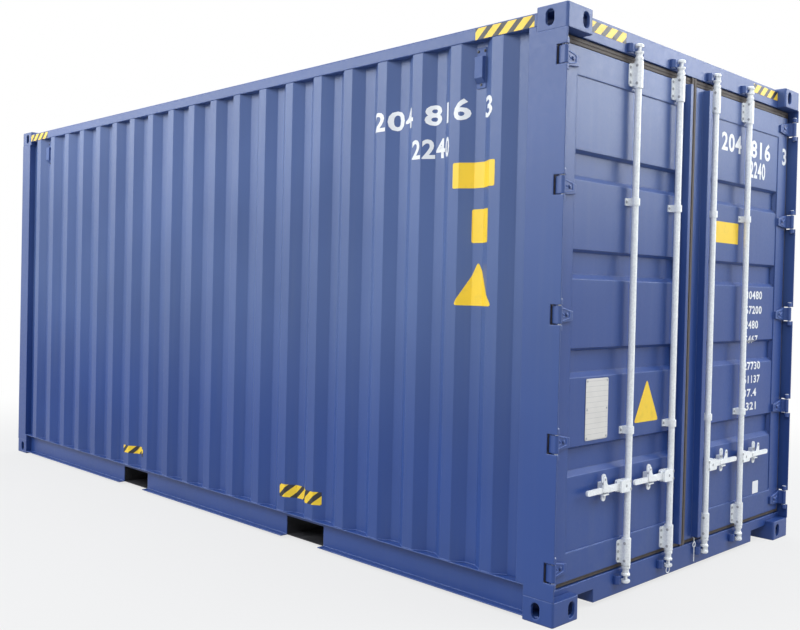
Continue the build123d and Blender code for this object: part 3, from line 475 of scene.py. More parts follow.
@dataclass(frozen=True)
class Rubber:
    """Ribbed door seal, with pale powder in its ribs."""

    colour: Colour = (0.085, 0.070, 0.062)
    pitch: float = 0.0085

    def material(self, name: str) -> bpy.types.Material:
        """Makes the finish.

        Args:
            name: the material's name.

        Returns:
            The material.
        """
        graph = Graph(name)
        along = (graph.part("Y") / self.pitch).wrapped().distance(0.5) * 2.0
        powder = graph.noise(30.0, 4.0).fade(0.4, 0.8)
        tone = graph.mix(powder * 0.5, self.colour, (0.17, 0.145, 0.13))
        return graph.surface(Base_Color=tone, Roughness=0.62 + powder * 0.2,
                             Normal=graph.bump(along, 0.0012))


@dataclass(frozen=True)
class FloorPly:
    """Varnished hardwood plywood, its grain along the container."""

    light: Colour = (0.36, 0.17, 0.085)
    dark: Colour = (0.17, 0.070, 0.035)

    def material(self, name: str) -> bpy.types.Material:
        """Makes the finish.

        Args:
            name: the material's name.

        Returns:
            The material.
        """
        graph = Graph(name)
        grain = graph.noise(30.0, 6.0, (0.06, 1.0, 1.0), 0.65)
        tone = graph.mix(grain.fade(0.3, 0.7), self.dark, self.light)
        board = graph.cells(0.8)
        tone = graph.mix(board * 0.25, tone, shade(self.light, 1.25))
        worn = graph.noise(3.0, 5.0).fade(0.5, 0.8)
        return graph.surface(Base_Color=tone, Roughness=0.38 + worn * 0.3,
                             Normal=graph.bump(grain, 0.0005))


@dataclass(frozen=True)
class MarkFilm:
    """Self-adhesive film in one colour, slightly soiled."""

    colour: Colour = YELLOW
    soil: Colour = (0.30, 0.24, 0.12)
    roughness: float = 0.42

    def material(self, name: str) -> bpy.types.Material:
        """Makes the finish.

        Args:
            name: the material's name.

        Returns:
            The material.
        """
        graph = Graph(name)
        soil = graph.noise(22.0, 5.0).fade(0.5, 0.9)
        tone = graph.mix(graph.noise(4.0, 2.0), shade(self.colour, 0.94), shade(self.colour, 1.05))
        tone = graph.mix(soil * 0.25, tone, self.soil)
        return graph.surface(Base_Color=tone, Roughness=self.roughness + soil * 0.2,
                             Normal=graph.bump(graph.noise(300.0, 2.0), 0.00008))


@dataclass(frozen=True)
class HazardFilm:
    """Yellow film with slanting black bands."""

    yellow: Colour = YELLOW
    black: Colour = (0.012, 0.012, 0.014)
    pitch: float = 0.095
    axis: str = "X"
    lean: int = -1
    slope: float = 1.1
    share: float = 0.57

    def material(self, name: str) -> bpy.types.Material:
        """Makes the finish.

        Args:
            name: the material's name.

        Returns:
            The material.
        """
        graph = Graph(name)
        along = graph.part(self.axis) + graph.part("Z") * (self.lean * self.slope)
        band = (along / self.pitch).wrapped().over(self.share)
        soil = graph.noise(22.0, 5.0).fade(0.5, 0.9)
        tone = graph.mix(band, self.yellow, self.black)
        tone = graph.mix(soil * 0.2, tone, (0.25, 0.22, 0.16))
        return graph.surface(Base_Color=tone, Roughness=0.42 + soil * 0.2,
                             Normal=graph.bump(graph.noise(300.0, 2.0), 0.00008))


@dataclass(frozen=True)
class PlateCoat:
    """A data plate without words: pale anodised metal with ruled lines."""

    colour: Colour = (0.70, 0.68, 0.65)
    line: Colour = (0.30, 0.31, 0.33)
    pitch: float = 0.0262

    def material(self, name: str) -> bpy.types.Material:
        """Makes the finish.

        Args:
            name: the material's name.

        Returns:
            The material.
        """
        graph = Graph(name)
        ruled = (graph.part("Z") / self.pitch).wrapped().over(0.94)
        cloud = graph.noise(12.0, 4.0).fade(0.3, 0.8)
        tone = graph.mix(cloud * 0.4, self.colour, shade(self.colour, 0.84))
        tone = graph.mix(ruled * 0.55, tone, self.line)
        return graph.surface(Base_Color=tone, Metallic=0.25, Roughness=0.38 + cloud * 0.15,
                             Normal=graph.bump(ruled, -0.0003))


class Finishes:
    """Every finish of the container, made once and found by the record's slot names."""

    def __init__(self) -> None:
        """Makes the finishes."""
        # The sheen settings below set each paint's painted sheen towards the top.
        self.slots: dict[str, bpy.types.Material] = {
            "blue": SteelPaint(dust=0.05, top_sheen=0.065, edge=0.007).material("frame_paint"),
            "blue_sheet": SteelPaint(streak=0.07, top_sheen=0.12, ripple=0.010).material("wall_paint"),
            "door_blue": SteelPaint(streak=0.06, dust=0.20, dust_top=0.8,
                                    top_sheen_span=(1.2, 2.6), ripple=0.006).material("door_paint"),
            "roof": SteelPaint(streak=0.0, dust=0.0, ripple=0.012,
                               roughness=0.45).material("roof_paint"),
            "underside": WaxedSteel().material("underside_wax"),
            "vent": SteelPaint(colour=shade(BLUE, 1.12), roughness=0.5,
                               scuff=0.1).material("vent_paint"),
            "plywood": FloorPly().material("floor_plywood"),
            "rubber": Rubber().material("seal_rubber"),
            "zinc": Zinc().material("zinc"),
        }
        # Painted highlight: the hinge ribs take the frame's blue half as light again, standing in
        # for the sky light that they catch.
        self.rib = SteelPaint(colour=shade(BLUE, 1.5), dust=0.3).material("rib_painted_highlight")
        self.yellow = MarkFilm().material("yellow_film")
        self.white = MarkFilm(colour=(0.84, 0.85, 0.87), soil=(0.35, 0.36, 0.40),
                              roughness=0.5).material("white_stencil")
        self.hazard = {(axis, lean): HazardFilm(axis=axis, lean=lean).material(
            f"hazard_film_{axis.lower()}_{'left' if lean < 0 else 'right'}")
                       for axis in "XY" for lean in (-1, 1)}
        self.plate = PlateCoat().material("data_plate_coat")
        self.bolt = Zinc(colour=(0.46, 0.47, 0.49), spangle=300.0).material("bolt_steel")
        self.screw = WaxedSteel(colour=(0.030, 0.033, 0.045)).material("dark_screw")

    def dress_nodes(self) -> None:
        """Gives every CAD node the finish of its slot in the record."""
        for part in frame["record"]["subparts"]:
            mesh = frame["nodes"][part["node"]].data
            mesh.materials.clear()
            mesh.materials.append(self.slots[part["material_slot"]])


def place(mesh: bpy.types.Mesh, name: str, body: str, slot: str) -> bpy.types.Object:
    """Puts a finished mesh in the scene on a body.

    Args:
        mesh: the mesh, in the container's frame.
        name: the piece's name.
        body: the CAD body that it rides on.
        slot: the record's slot name; not used.

    Returns:
        The new object.
    """
    piece = bpy.data.objects.new(name, mesh)
    bpy.context.scene.collection.objects.link(piece)
    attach(piece, body)
    LOG.info("%s on %s: %d faces", name, body, len(mesh.polygons))
    return piece


@dataclass(frozen=True)
class Spot:
    """A fastener's seat and the way that it faces."""

    place: Vector
    outward: Vector


class Skin:
    """An outer face of some CAD nodes, which marks are laid on."""

    def __init__(self, nodes: Sequence[str], outward: Vector, fold_axis: Axis) -> None:
        """Reads the nodes' faces.

        Args:
            nodes: the nodes whose face it is.
            outward: the way out of the container.
            fold_axis: the axis that crosses the folds.
        """
        points: list[Vector] = []
        faces: list[tuple[int, ...]] = []
        for node in nodes:
            mesh = frame["nodes"][node].data
            first = len(points)
            points += [vertex.co.copy() for vertex in mesh.vertices]
            faces += [tuple(first + i for i in face.vertices) for face in mesh.polygons]
        self.tree = BVHTree.FromPolygons(points, faces)
        self.outward = outward
        self.fold_axis = fold_axis
        self.folds = sorted({round(point[fold_axis], 4) for point in points})

    def drop(self, point: Vector, lift: float) -> Vector:
        """The place on the face behind a point.

        Args:
            point: any point in front of the face.
            lift: how far the result stands off the face.

        Returns:
            The place.
        """
        start = point + self.outward * (RAY_START - point.dot(self.outward))
        hit = self.tree.ray_cast(start, -self.outward)[0]
        if hit is None:
            hit = self.tree.find_nearest(point)[0]
        return hit + self.outward * lift

    def seat(self, point: Vector, lift: float = SEAT_LIFT) -> Spot:
        """A fastener's seat on the face behind a point."""
        return Spot(self.drop(point, lift), self.outward)

    def lay(self, shape: bmesh.types.BMesh, lift: float = FILM_LIFT) -> None:
        """Cuts a flat shape at the folds and drops it on the face.

        Args:
            shape: a flat shape in front of the face.
            lift: how far it stands off the face.
        """
        along = [vertex.co[self.fold_axis] for vertex in shape.verts]
        first, last = min(along), max(along)
        across = Vector([float(axis == self.fold_axis) for axis in Axis])
        for fold in self.folds:
            if first < fold < last:
                bmesh.ops.bisect_plane(shape, geom=shape.verts[:] + shape.edges[:]
                                       + shape.faces[:], plane_co=across * fold,
                                       plane_no=across, dist=1e-5)
        for vertex in shape.verts:
            vertex.co = self.drop(vertex.co, lift)

    def films(self, outlines: Sequence[Sequence[Vector]]) -> list[bmesh.types.BMesh]:
        """Lays thin films on the face.

        Args:
            outlines: the corners of each film, in front of the face.

        Returns:
            The films' shapes.
        """
        shapes = [flat_outline(outline) for outline in outlines]
        for shape in shapes:
            self.lay(shape)
        return shapes


def corners(box: Box) -> list[tuple[float, float]]:
    """The corners of a box on a face, the two at its foot first.

    Args:
        box: its lowest and highest place across, then its lowest and highest level.

    Returns:
        The place across and the level of each corner.
    """
    low, high, foot, top = box
    return [(low, foot), (high, foot), (high, top), (low, top)]


def flat_outline(points: Sequence[Vector]) -> bmesh.types.BMesh:
    """A flat face with the given corners.

    Args:
        points: the corners in order.

    Returns:
        The shape.
    """
    shape = bmesh.new()
    shape.faces.new([shape.verts.new(point) for point in points])
    return shape


def rounded(points: Sequence[Vector], radius: float, steps: int = 5) -> list[Vector]:
    """Rounds the corners of an outline.

    Args:
        points: the corners in order.
        radius: how far from a corner its round begins.
        steps: points in each round.

    Returns:
        The rounded outline.
    """
    smooth = []
    for i, corner in enumerate(points):
        before = corner + (points[i - 1] - corner).normalized() * radius
        after = corner + (points[(i + 1) % len(points)] - corner).normalized() * radius
        for k in range(steps + 1):
            t = k / steps
            smooth.append(before * (1 - t) ** 2 + corner * 2 * t * (1 - t) + after * t ** 2)
    return smooth


def triangle(box: Sequence[Vector], radius: float) -> list[Vector]:
    """The rounded triangle that stands in a box.

    Args:
        box: the box's corners, the two at its foot first.
        radius: how far from a corner its round begins.

    Returns:
        The triangle's outline.
    """
    return rounded([box[0], box[1], (box[2] + box[3]) / 2], radius)


def digits_shape(text: str, size: tuple[float, float], placed: Matrix) -> bmesh.types.BMesh:
    """Plain digits as a flat mesh.

    Args:
        text: digits and spaces.
        size: the width of the line and the height of a digit.
        placed: where the first digit's foot is, with X along the line and Y up.

    Returns:
        The shape.
    """
    curve = bpy.data.curves.new("digits", "FONT")
    curve.body = text
    curve.space_character = DIGIT_SPACING
    curve.resolution_u = DIGIT_STEPS
    curve.offset = DIGIT_BOLDNESS
    holder = bpy.data.objects.new("digits", curve)
    bpy.context.scene.collection.objects.link(holder)
    bpy.context.view_layer.update()
    mesh = bpy.data.meshes.new_from_object(holder)
    bpy.data.objects.remove(holder)
    shape = bmesh.new()
    shape.from_mesh(mesh)
    bpy.data.meshes.remove(mesh)
    bmesh.ops.remove_doubles(shape, verts=shape.verts[:], dist=1e-6)
    low, high = [Vector([pick(v.co[k] for v in shape.verts) for k in range(2)])
                 for pick in (min, max)]
    stretch = Matrix.Diagonal((size[0] / (high.x - low.x), size[1] / (high.y - low.y), 1.0, 1.0))
    shape.transform(placed @ stretch @ Matrix.Translation((-low.x, -low.y, 0.0)))
    return shape


def gather(shapes: Sequence[bmesh.types.BMesh], name: str) -> bpy.types.Mesh:
    """Joins shapes into one mesh.

    Args:
        shapes: the shapes, which are used up.
        name: the mesh's name.

    Returns:
        The mesh.
    """
    whole = bmesh.new()
    for shape in shapes:
        part = bpy.data.meshes.new("part")
        shape.to_mesh(part)
        shape.free()
        whole.from_mesh(part)
        bpy.data.meshes.remove(part)
    mesh = bpy.data.meshes.new(name)
    whole.to_mesh(mesh)
    whole.free()
    return mesh


def place_shapes(shapes: Sequence[bmesh.types.BMesh], name: str, body: str, slot: str,
                 material: bpy.types.Material) -> bpy.types.Object:
    """Joins shapes into one piece on a body.

    Args:
        shapes: the shapes, which are used up.
        name: the piece's name.
        body: the CAD body that it rides on.
        slot: the record's slot name, passed on to place, which does not use it.
        material: its finish.

    Returns:
        The new object.
    """
    mesh = gather(shapes, name)
    mesh.materials.append(material)
    return place(mesh, name, body, slot)


def thicken(piece: bpy.types.Object, thickness: float, edge: float, segments: int) -> None:
    """Gives a flat piece its thickness, towards its back, and eases its edges.

    Args:
        piece: the piece.
        thickness: how thick it gets.
        edge: how wide the eased edge is.
        segments: how many faces the eased edge has.
    """
    solid = piece.modifiers.new("thickness", "SOLIDIFY")
    solid.thickness, solid.offset = thickness, -1.0
    ease = piece.modifiers.new("edge", "BEVEL")
    ease.width, ease.segments, ease.limit_method = edge, segments, "ANGLE"


class NodeTree(Nodes):
    """A Geometry Nodes tree that grows a mesh from a few points or lines."""

    def __init__(self, name: str, sizes: dict[str, float]) -> None:
        """Starts the tree.

        Args:
            name: the tree's name.
            sizes: its named sizes and their usual values.
        """
        super().__init__(bpy.data.node_groups.new(name, "GeometryNodeTree"))
        face = self.tree.interface
        face.new_socket("Geometry", in_out="INPUT", socket_type="NodeSocketGeometry")
        for size, usual in sizes.items():
            socket = face.new_socket(size, in_out="INPUT", socket_type="NodeSocketFloat")
            socket.default_value = usual
        face.new_socket("Finish", in_out="INPUT", socket_type="NodeSocketMaterial")
        face.new_socket("Geometry", in_out="OUTPUT", socket_type="NodeSocketGeometry")
        self.given = self.node("NodeGroupInput").outputs
        self.build()

    def build(self) -> None:
        """Adds the tree's own nodes, and is given by each kind of tree."""
        raise NotImplementedError

    def maths(self, operation: str, first: Any, second: Any) -> bpy.types.NodeSocket:
        """Works out a size from two others.

        Args:
            operation: the operation.
            first: a number or a link.
            second: a number or a link.

        Returns:
            The size.
        """
        node = self.node("ShaderNodeMath", {"operation": operation}, {0: first, 1: second})
        return node.outputs[0]

    def close(self, geometry: bpy.types.NodeSocket) -> None:
        """Ends the tree in real, finished geometry.

        Args:
            geometry: what it has grown.
        """
        real = self.node("GeometryNodeRealizeInstances", sockets={"Geometry": geometry})
        done = self.node("GeometryNodeSetMaterial", sockets={
            "Geometry": real.outputs[0], "Material": self.given["Finish"]})
        self.node("NodeGroupOutput", sockets={0: done.outputs[0]})

    def seed(self, places: Sequence[Spot]) -> bpy.types.Mesh:
        """Makes the points that the pieces grow on.

        Args:
            places: a spot for each piece.

        Returns:
            A mesh of points, with their outward attribute.
        """
        mesh = bpy.data.meshes.new("spots")
        mesh.from_pydata([spot.place for spot in places], [], [])
        ways = mesh.attributes.new("outward", "FLOAT_VECTOR", "POINT")
        ways.data.foreach_set("vector", [part for spot in places for part in spot.outward])
        return mesh

    def add(self, places: Sequence[Any], finish: bpy.types.Material, name: str, body: str,
            slot: str, **sizes: float) -> None:
        """Grows pieces as one plain mesh and puts it on a body.

        Args:
            places: the spots or lines that they grow on.
            finish: their finish.
            name: the mesh's name.
            body: the CAD body that it rides on.
            slot: the record's slot name, passed on to place, which does not use it.
            sizes: the named sizes that differ from the usual ones.
        """
        holder = bpy.data.objects.new("seed", self.seed(places))
        bpy.context.scene.collection.objects.link(holder)
        modifier = holder.modifiers.new("grow", "NODES")
        modifier.node_group = self.tree
        for item in self.tree.interface.items_tree:
            if item.in_out == "INPUT" and item.name in sizes:
                modifier[item.identifier] = sizes[item.name]
            elif item.in_out == "INPUT" and item.name == "Finish":
                modifier[item.identifier] = finish
        graph = bpy.context.evaluated_depsgraph_get()
        mesh = bpy.data.meshes.new_from_object(holder.evaluated_get(graph), depsgraph=graph)
        holder.modifiers.clear()
        bpy.data.objects.remove(holder)
        place(mesh, name, body, slot)


class FastenerTree(NodeTree):
    """Bolt heads with washers, one on each point, turned to its outward attribute."""

    def __init__(self) -> None:
        """Makes the tree."""
        super().__init__("fasteners", {"Radius": 0.009, "Height": 0.006})

    def build(self) -> None:
        """Adds a head on a washer and sets one on each point."""
        radius, height = self.given["Radius"], self.given["Height"]
        head = self.node("GeometryNodeMeshCone", {"fill_type": "NGON"}, {
            "Vertices": 6, "Radius Top": self.maths("MULTIPLY", radius, 0.88),
            "Radius Bottom": radius, "Depth": height})
        washer = self.node("GeometryNodeMeshCylinder", sockets={
            "Vertices": 14, "Radius": self.maths("MULTIPLY", radius, 1.45),
            "Depth": self.maths("MULTIPLY", height, 0.30)})
        whole = self.node("GeometryNodeJoinGeometry")
        self.tree.links.new(washer.outputs["Mesh"], whole.inputs[0])
        self.tree.links.new(head.outputs["Mesh"], whole.inputs[0])
        way = self.node("GeometryNodeInputNamedAttribute", {"data_type": "FLOAT_VECTOR"},
                        {"Name": "outward"})
        turn = self.node("FunctionNodeAlignRotationToVector", {"axis": "Z"},
                         {"Vector": way.outputs["Attribute"]})
        spots = self.node("GeometryNodeInstanceOnPoints", sockets={
            "Points": self.given["Geometry"], "Instance": whole.outputs[0],
            "Rotation": turn.outputs[0]})
        self.close(spots.outputs[0])


class BeadTree(NodeTree):
    """Weld beads along lines, with the ripple of a hand weld."""

    def __init__(self) -> None:
        """Makes the tree."""
        super().__init__("weld_beads", {"Radius": 0.004, "Step": 0.012, "Ripple": 0.0012})

    def seed(self, places: Sequence[Sequence[Vector]]) -> bpy.types.Mesh:
        """Makes the lines that the beads run along.

        Args:
            places: the points of each line in order.

        Returns:
            A mesh of edges.
        """
        points: list[Vector] = []
        edges: list[tuple[int, int]] = []
        for line in places:
            first = len(points)
            points += list(line)
            edges += [(first + i, first + i + 1) for i in range(len(line) - 1)]
        mesh = bpy.data.meshes.new("lines")
        mesh.from_pydata(points, edges, [])
        return mesh

    def build(self) -> None:
        """Sweeps a six-sided bead along the lines and ripples it."""
        line = self.node("GeometryNodeMeshToCurve", sockets={"Mesh": self.given["Geometry"]})
        even = self.node("GeometryNodeResampleCurve", {"mode": "LENGTH"}, {
            "Curve": line.outputs[0], "Length": self.given["Step"]})
        ring = self.node("GeometryNodeCurvePrimitiveCircle", sockets={
            "Resolution": 6, "Radius": self.given["Radius"]})
        swept = self.node("GeometryNodeCurveToMesh", sockets={
            "Curve": even.outputs[0], "Profile Curve": ring.outputs[0], "Fill Caps": True})
        noise = self.node("ShaderNodeTexNoise", {"noise_dimensions": "4D"}, {
            "W": 3.0, "Scale": 70.0, "Detail": 1.0})
        centred = self.node("ShaderNodeVectorMath", {"operation": "SUBTRACT"}, {
            0: noise.outputs["Color"], 1: (0.5, 0.5, 0.5)})
        scaled = self.node("ShaderNodeVectorMath", {"operation": "SCALE"}, {
            0: centred.outputs[0], "Scale": self.given["Ripple"]})
        moved = self.node("GeometryNodeSetPosition", sockets={
            "Geometry": swept.outputs[0], "Offset": scaled.outputs[0]})
        smooth = self.node("GeometryNodeSetShadeSmooth", sockets={"Geometry": moved.outputs[0]})
        self.close(smooth.outputs[0])


class CollarTree(NodeTree):
    """Turned collars with chamfered rims, one on each point, standing upright."""

    def __init__(self) -> None:
        """Makes the tree."""
        super().__init__("collars", {"Radius": 0.022, "Height": 0.010, "Chamfer": 0.002})

    def build(self) -> None:
        """Adds a drum between two short cones and sets one on each point."""
        radius, height, chamfer = [self.given[name] for name in ("Radius", "Height", "Chamfer")]
        inner = self.maths("SUBTRACT", radius, chamfer)
        half = self.maths("MULTIPLY", height, 0.5)
        below = self.maths("SUBTRACT", self.maths("MULTIPLY", half, -1), chamfer)
        whole = self.node("GeometryNodeJoinGeometry")
        drum = self.node("GeometryNodeMeshCylinder", sockets={
            "Vertices": 28, "Radius": radius, "Depth": height})
        self.tree.links.new(drum.outputs["Mesh"], whole.inputs[0])
        for narrow, wide, seat in ((inner, radius, half), (radius, inner, below)):
            cone = self.node("GeometryNodeMeshCone", {"fill_type": "NGON"}, {
                "Vertices": 28, "Radius Top": narrow, "Radius Bottom": wide, "Depth": chamfer})
            shift = self.node("ShaderNodeCombineXYZ", sockets={"Z": seat})
            moved = self.node("GeometryNodeTransform", sockets={
                "Geometry": cone.outputs["Mesh"], "Translation": shift.outputs[0]})
            self.tree.links.new(moved.outputs[0], whole.inputs[0])
        spots = self.node("GeometryNodeInstanceOnPoints", sockets={
            "Points": self.given["Geometry"], "Instance": whole.outputs[0]})
        self.close(spots.outputs[0])


@dataclass(frozen=True)
class Kit:
    """What every dressing works with: the finishes, and the trees that grow small pieces."""

    finishes: Finishes
    fasteners: FastenerTree
    beads: BeadTree
    collars: CollarTree


@dataclass
class SideWallMarks:
    """Marks, beads and vent screws of one long side."""

    kit: Kit
    side: Side
    patch_high: Box = (2.330, 2.610, 2.075, 2.205)
    patch_low: Box = (2.432, 2.570, 1.798, 1.968)
    triangle: Box = (2.352, 2.606, 1.481, 1.704)
    pocket_marks: tuple[Box, ...] = (
        (-1.060, -0.760, 0.262, 0.318), (0.930, 1.300, 0.262, 0.340))
    rail_marks: tuple[tuple[float, float], ...] = ((-2.848, -2.510), (2.465, 2.836))
    number: str = "204 816 3"
    number_span: Box = (1.720, 2.585, 2.420, 2.530)
    number_below: str = "2240"
    below_span: Box = (2.030, 2.300, 2.245, 2.350)
    vent_centres: tuple[float, ...] = (-2.548, 2.472)
    vent_screws: tuple[float, float, float] = (0.022, 0.018, 0.020)
    patch_round: float = 0.010
    triangle_round: float = 0.022
    rail_margin: float = 0.002
    bead_set: float = 0.002
    bead_step: float = 0.016
    fold_margin: float = 0.004
    foot_probe: float = 0.01
    edge_bead: tuple[float, float] = (0.001, 0.003)
    edge_bead_ends: tuple[float, float] = (0.12, 0.01)

    def __post_init__(self) -> None:
        """Reads the wall's face."""
        self.name = self.side.name.lower()
        self.outward = Vector((0.0, self.side.value, 0.0))
        self.wall = Skin([f"side_wall_{self.name}"], self.outward, Axis.X)

    def _rect(self, box: Box, turned: bool = True) -> list[Vector]:
        """The corners of a mark in front of the wall.

        Args:
            box: its lowest and highest X and Z on the left side.
            turned: whether the right side has it turned half round, or else mirrored.

        Returns:
            The corners.
        """
        sign = self.side.value
        along = -sign if turned else 1
        return [Vector((x * along, sign * BESIDE, z)) for x, z in corners(box)]

    def build_patches(self) -> None:
        """Lays the plain yellow patches and the hazard bands."""
        patches = [rounded(self._rect(box), self.patch_round)
                   for box in (self.patch_high, self.patch_low)]
        patches.append(triangle(self._rect(self.triangle), self.triangle_round))
        place_shapes(self.wall.films(patches), f"yellow_patches_{self.name}", "frame",
                     "blue_sheet", self.kit.finishes.yellow)
        bands = self.wall.films([self._rect(box, turned=False) for box in self.pocket_marks])
        low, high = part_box(f"top_rail_{self.name}")
        face = self.side.value * (max(high.y, -low.y) + RAIL_LIFT)
        for x0, x1 in self.rail_marks:
            box = (x0, x1, low.z + self.rail_margin, high.z - self.rail_margin)
            bands.append(flat_outline([Vector((point.x, face, point.z))
                                       for point in self._rect(box, turned=False)]))
        place_shapes(bands, f"hazard_bands_{self.name}", "frame", "blue_sheet",
                     self.kit.finishes.hazard["X", self.side.value])

    def build_numbers(self) -> None:
        """Lays two lines of plain digits on the waves."""
        sign = -self.side.value
        turn = Matrix(((sign, 0, 0, 0), (0, 0, -sign, 0), (0, 1, 0, 0), (0, 0, 0, 1)))
        shapes = []
        for text, (x0, x1, z0, z1) in ((self.number, self.number_span),
                                       (self.number_below, self.below_span)):
            at = Matrix.Translation((x0 * sign, -BESIDE * sign, z0)) @ turn
            shape = digits_shape(text, (x1 - x0, z1 - z0), at)
            self.wall.lay(shape, DIGIT_LIFT)
            shapes.append(shape)
        place_shapes(shapes, f"side_numbers_{self.name}", "frame", "blue_sheet",
                     self.kit.finishes.white)

    def build_beads(self) -> None:
        """Runs weld beads along the wall's foot and along the roof's edge."""
        sign = self.side.value
        low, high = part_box(f"side_wall_{self.name}")
        foot = [self.wall.drop(Vector((x, BESIDE * sign, low.z + self.foot_probe)),
                               -self.bead_set)
                for x in self.wall.folds
                if low.x + self.fold_margin < x < high.x - self.fold_margin]
        for point in foot:
            point.z = low.z + self.bead_set
        low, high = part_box("roof_panel")
        front, rear = self.edge_bead_ends
        inside, above = self.edge_bead
        edge = [Vector((x, sign * (high.y - inside), low.z + above))
                for x in (low.x + front, high.x - rear)]
        self.kit.beads.add([foot, edge], self.kit.finishes.slots["blue"],
                           f"wall_beads_{self.name}", "frame", "blue", Step=self.bead_step)

    def build_screws(self) -> None:
        """Sets the dark screws that hold the vents on the wall."""
        skin = Skin(["vents"], self.outward, Axis.X)
        low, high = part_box("vents")
        aside, below, above = self.vent_screws
        seats = [skin.seat(Vector((x + dx, BESIDE * self.side.value, z)))
                 for x in self.vent_centres
                 for dx, z in ((-aside, high.z - below), (aside, high.z - below),
                               (0.0, low.z + above))]
        self.kit.fasteners.add(seats, self.kit.finishes.screw, f"vent_screws_{self.name}",
                               "frame", "vent", Radius=0.0055, Height=0.004)

    def build(self) -> None:
        """Builds everything on the side, in order."""
        self.build_patches()
        self.build_numbers()
        self.build_beads()
        self.build_screws()


@dataclass
class EndMarks:
    """Hazard bands on the two end headers."""

    kit: Kit
    spans: tuple[tuple[float, float], ...] = ((-1.085, -0.700), (0.735, 1.085))
    drop: float = 0.012
    height: float = 0.054
    inset: float = 0.01

    def build(self) -> None:
        """Lays the bands."""
        for node, sign in (("door_header", 1), ("front_header", -1)):
            low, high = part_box(node)
            skin = Skin([node], Vector((sign, 0.0, 0.0)), Axis.Y)
            outlines = []
            for y0, y1 in self.spans:
                y0, y1 = max(y0, low.y + self.inset), min(y1, high.y - self.inset)
                z0, z1 = high.z - self.drop - self.height, high.z - self.drop
                points = [Vector((sign * BEYOND, y, z)) for y, z in corners((y0, y1, z0, z1))]
                outlines.append(points if sign > 0 else points[::-1])
            place_shapes(skin.films(outlines), f"hazard_bands_{node}", "frame", "blue",
                         self.kit.finishes.hazard["Y", -sign])


@dataclass(frozen=True)
class DigitLine:
    """One line of digits on a door leaf, by its lower left corner and its size."""

    text: str
    y: float
    z: float
    width: float
    height: float


@dataclass(frozen=True)
class DigitColumn:
    """Lines of digits of one size, under one another on a door leaf."""

    texts: tuple[str, ...]
    top: float
    step: float
    height: float
    y: float = 0.715
    digit: float = 0.045

    def lines(self) -> list[DigitLine]:
        """The column's lines, from the top down."""
        return [DigitLine(text, self.y, self.top - i * self.step, self.digit * len(text),
                          self.height) for i, text in enumerate(self.texts)]


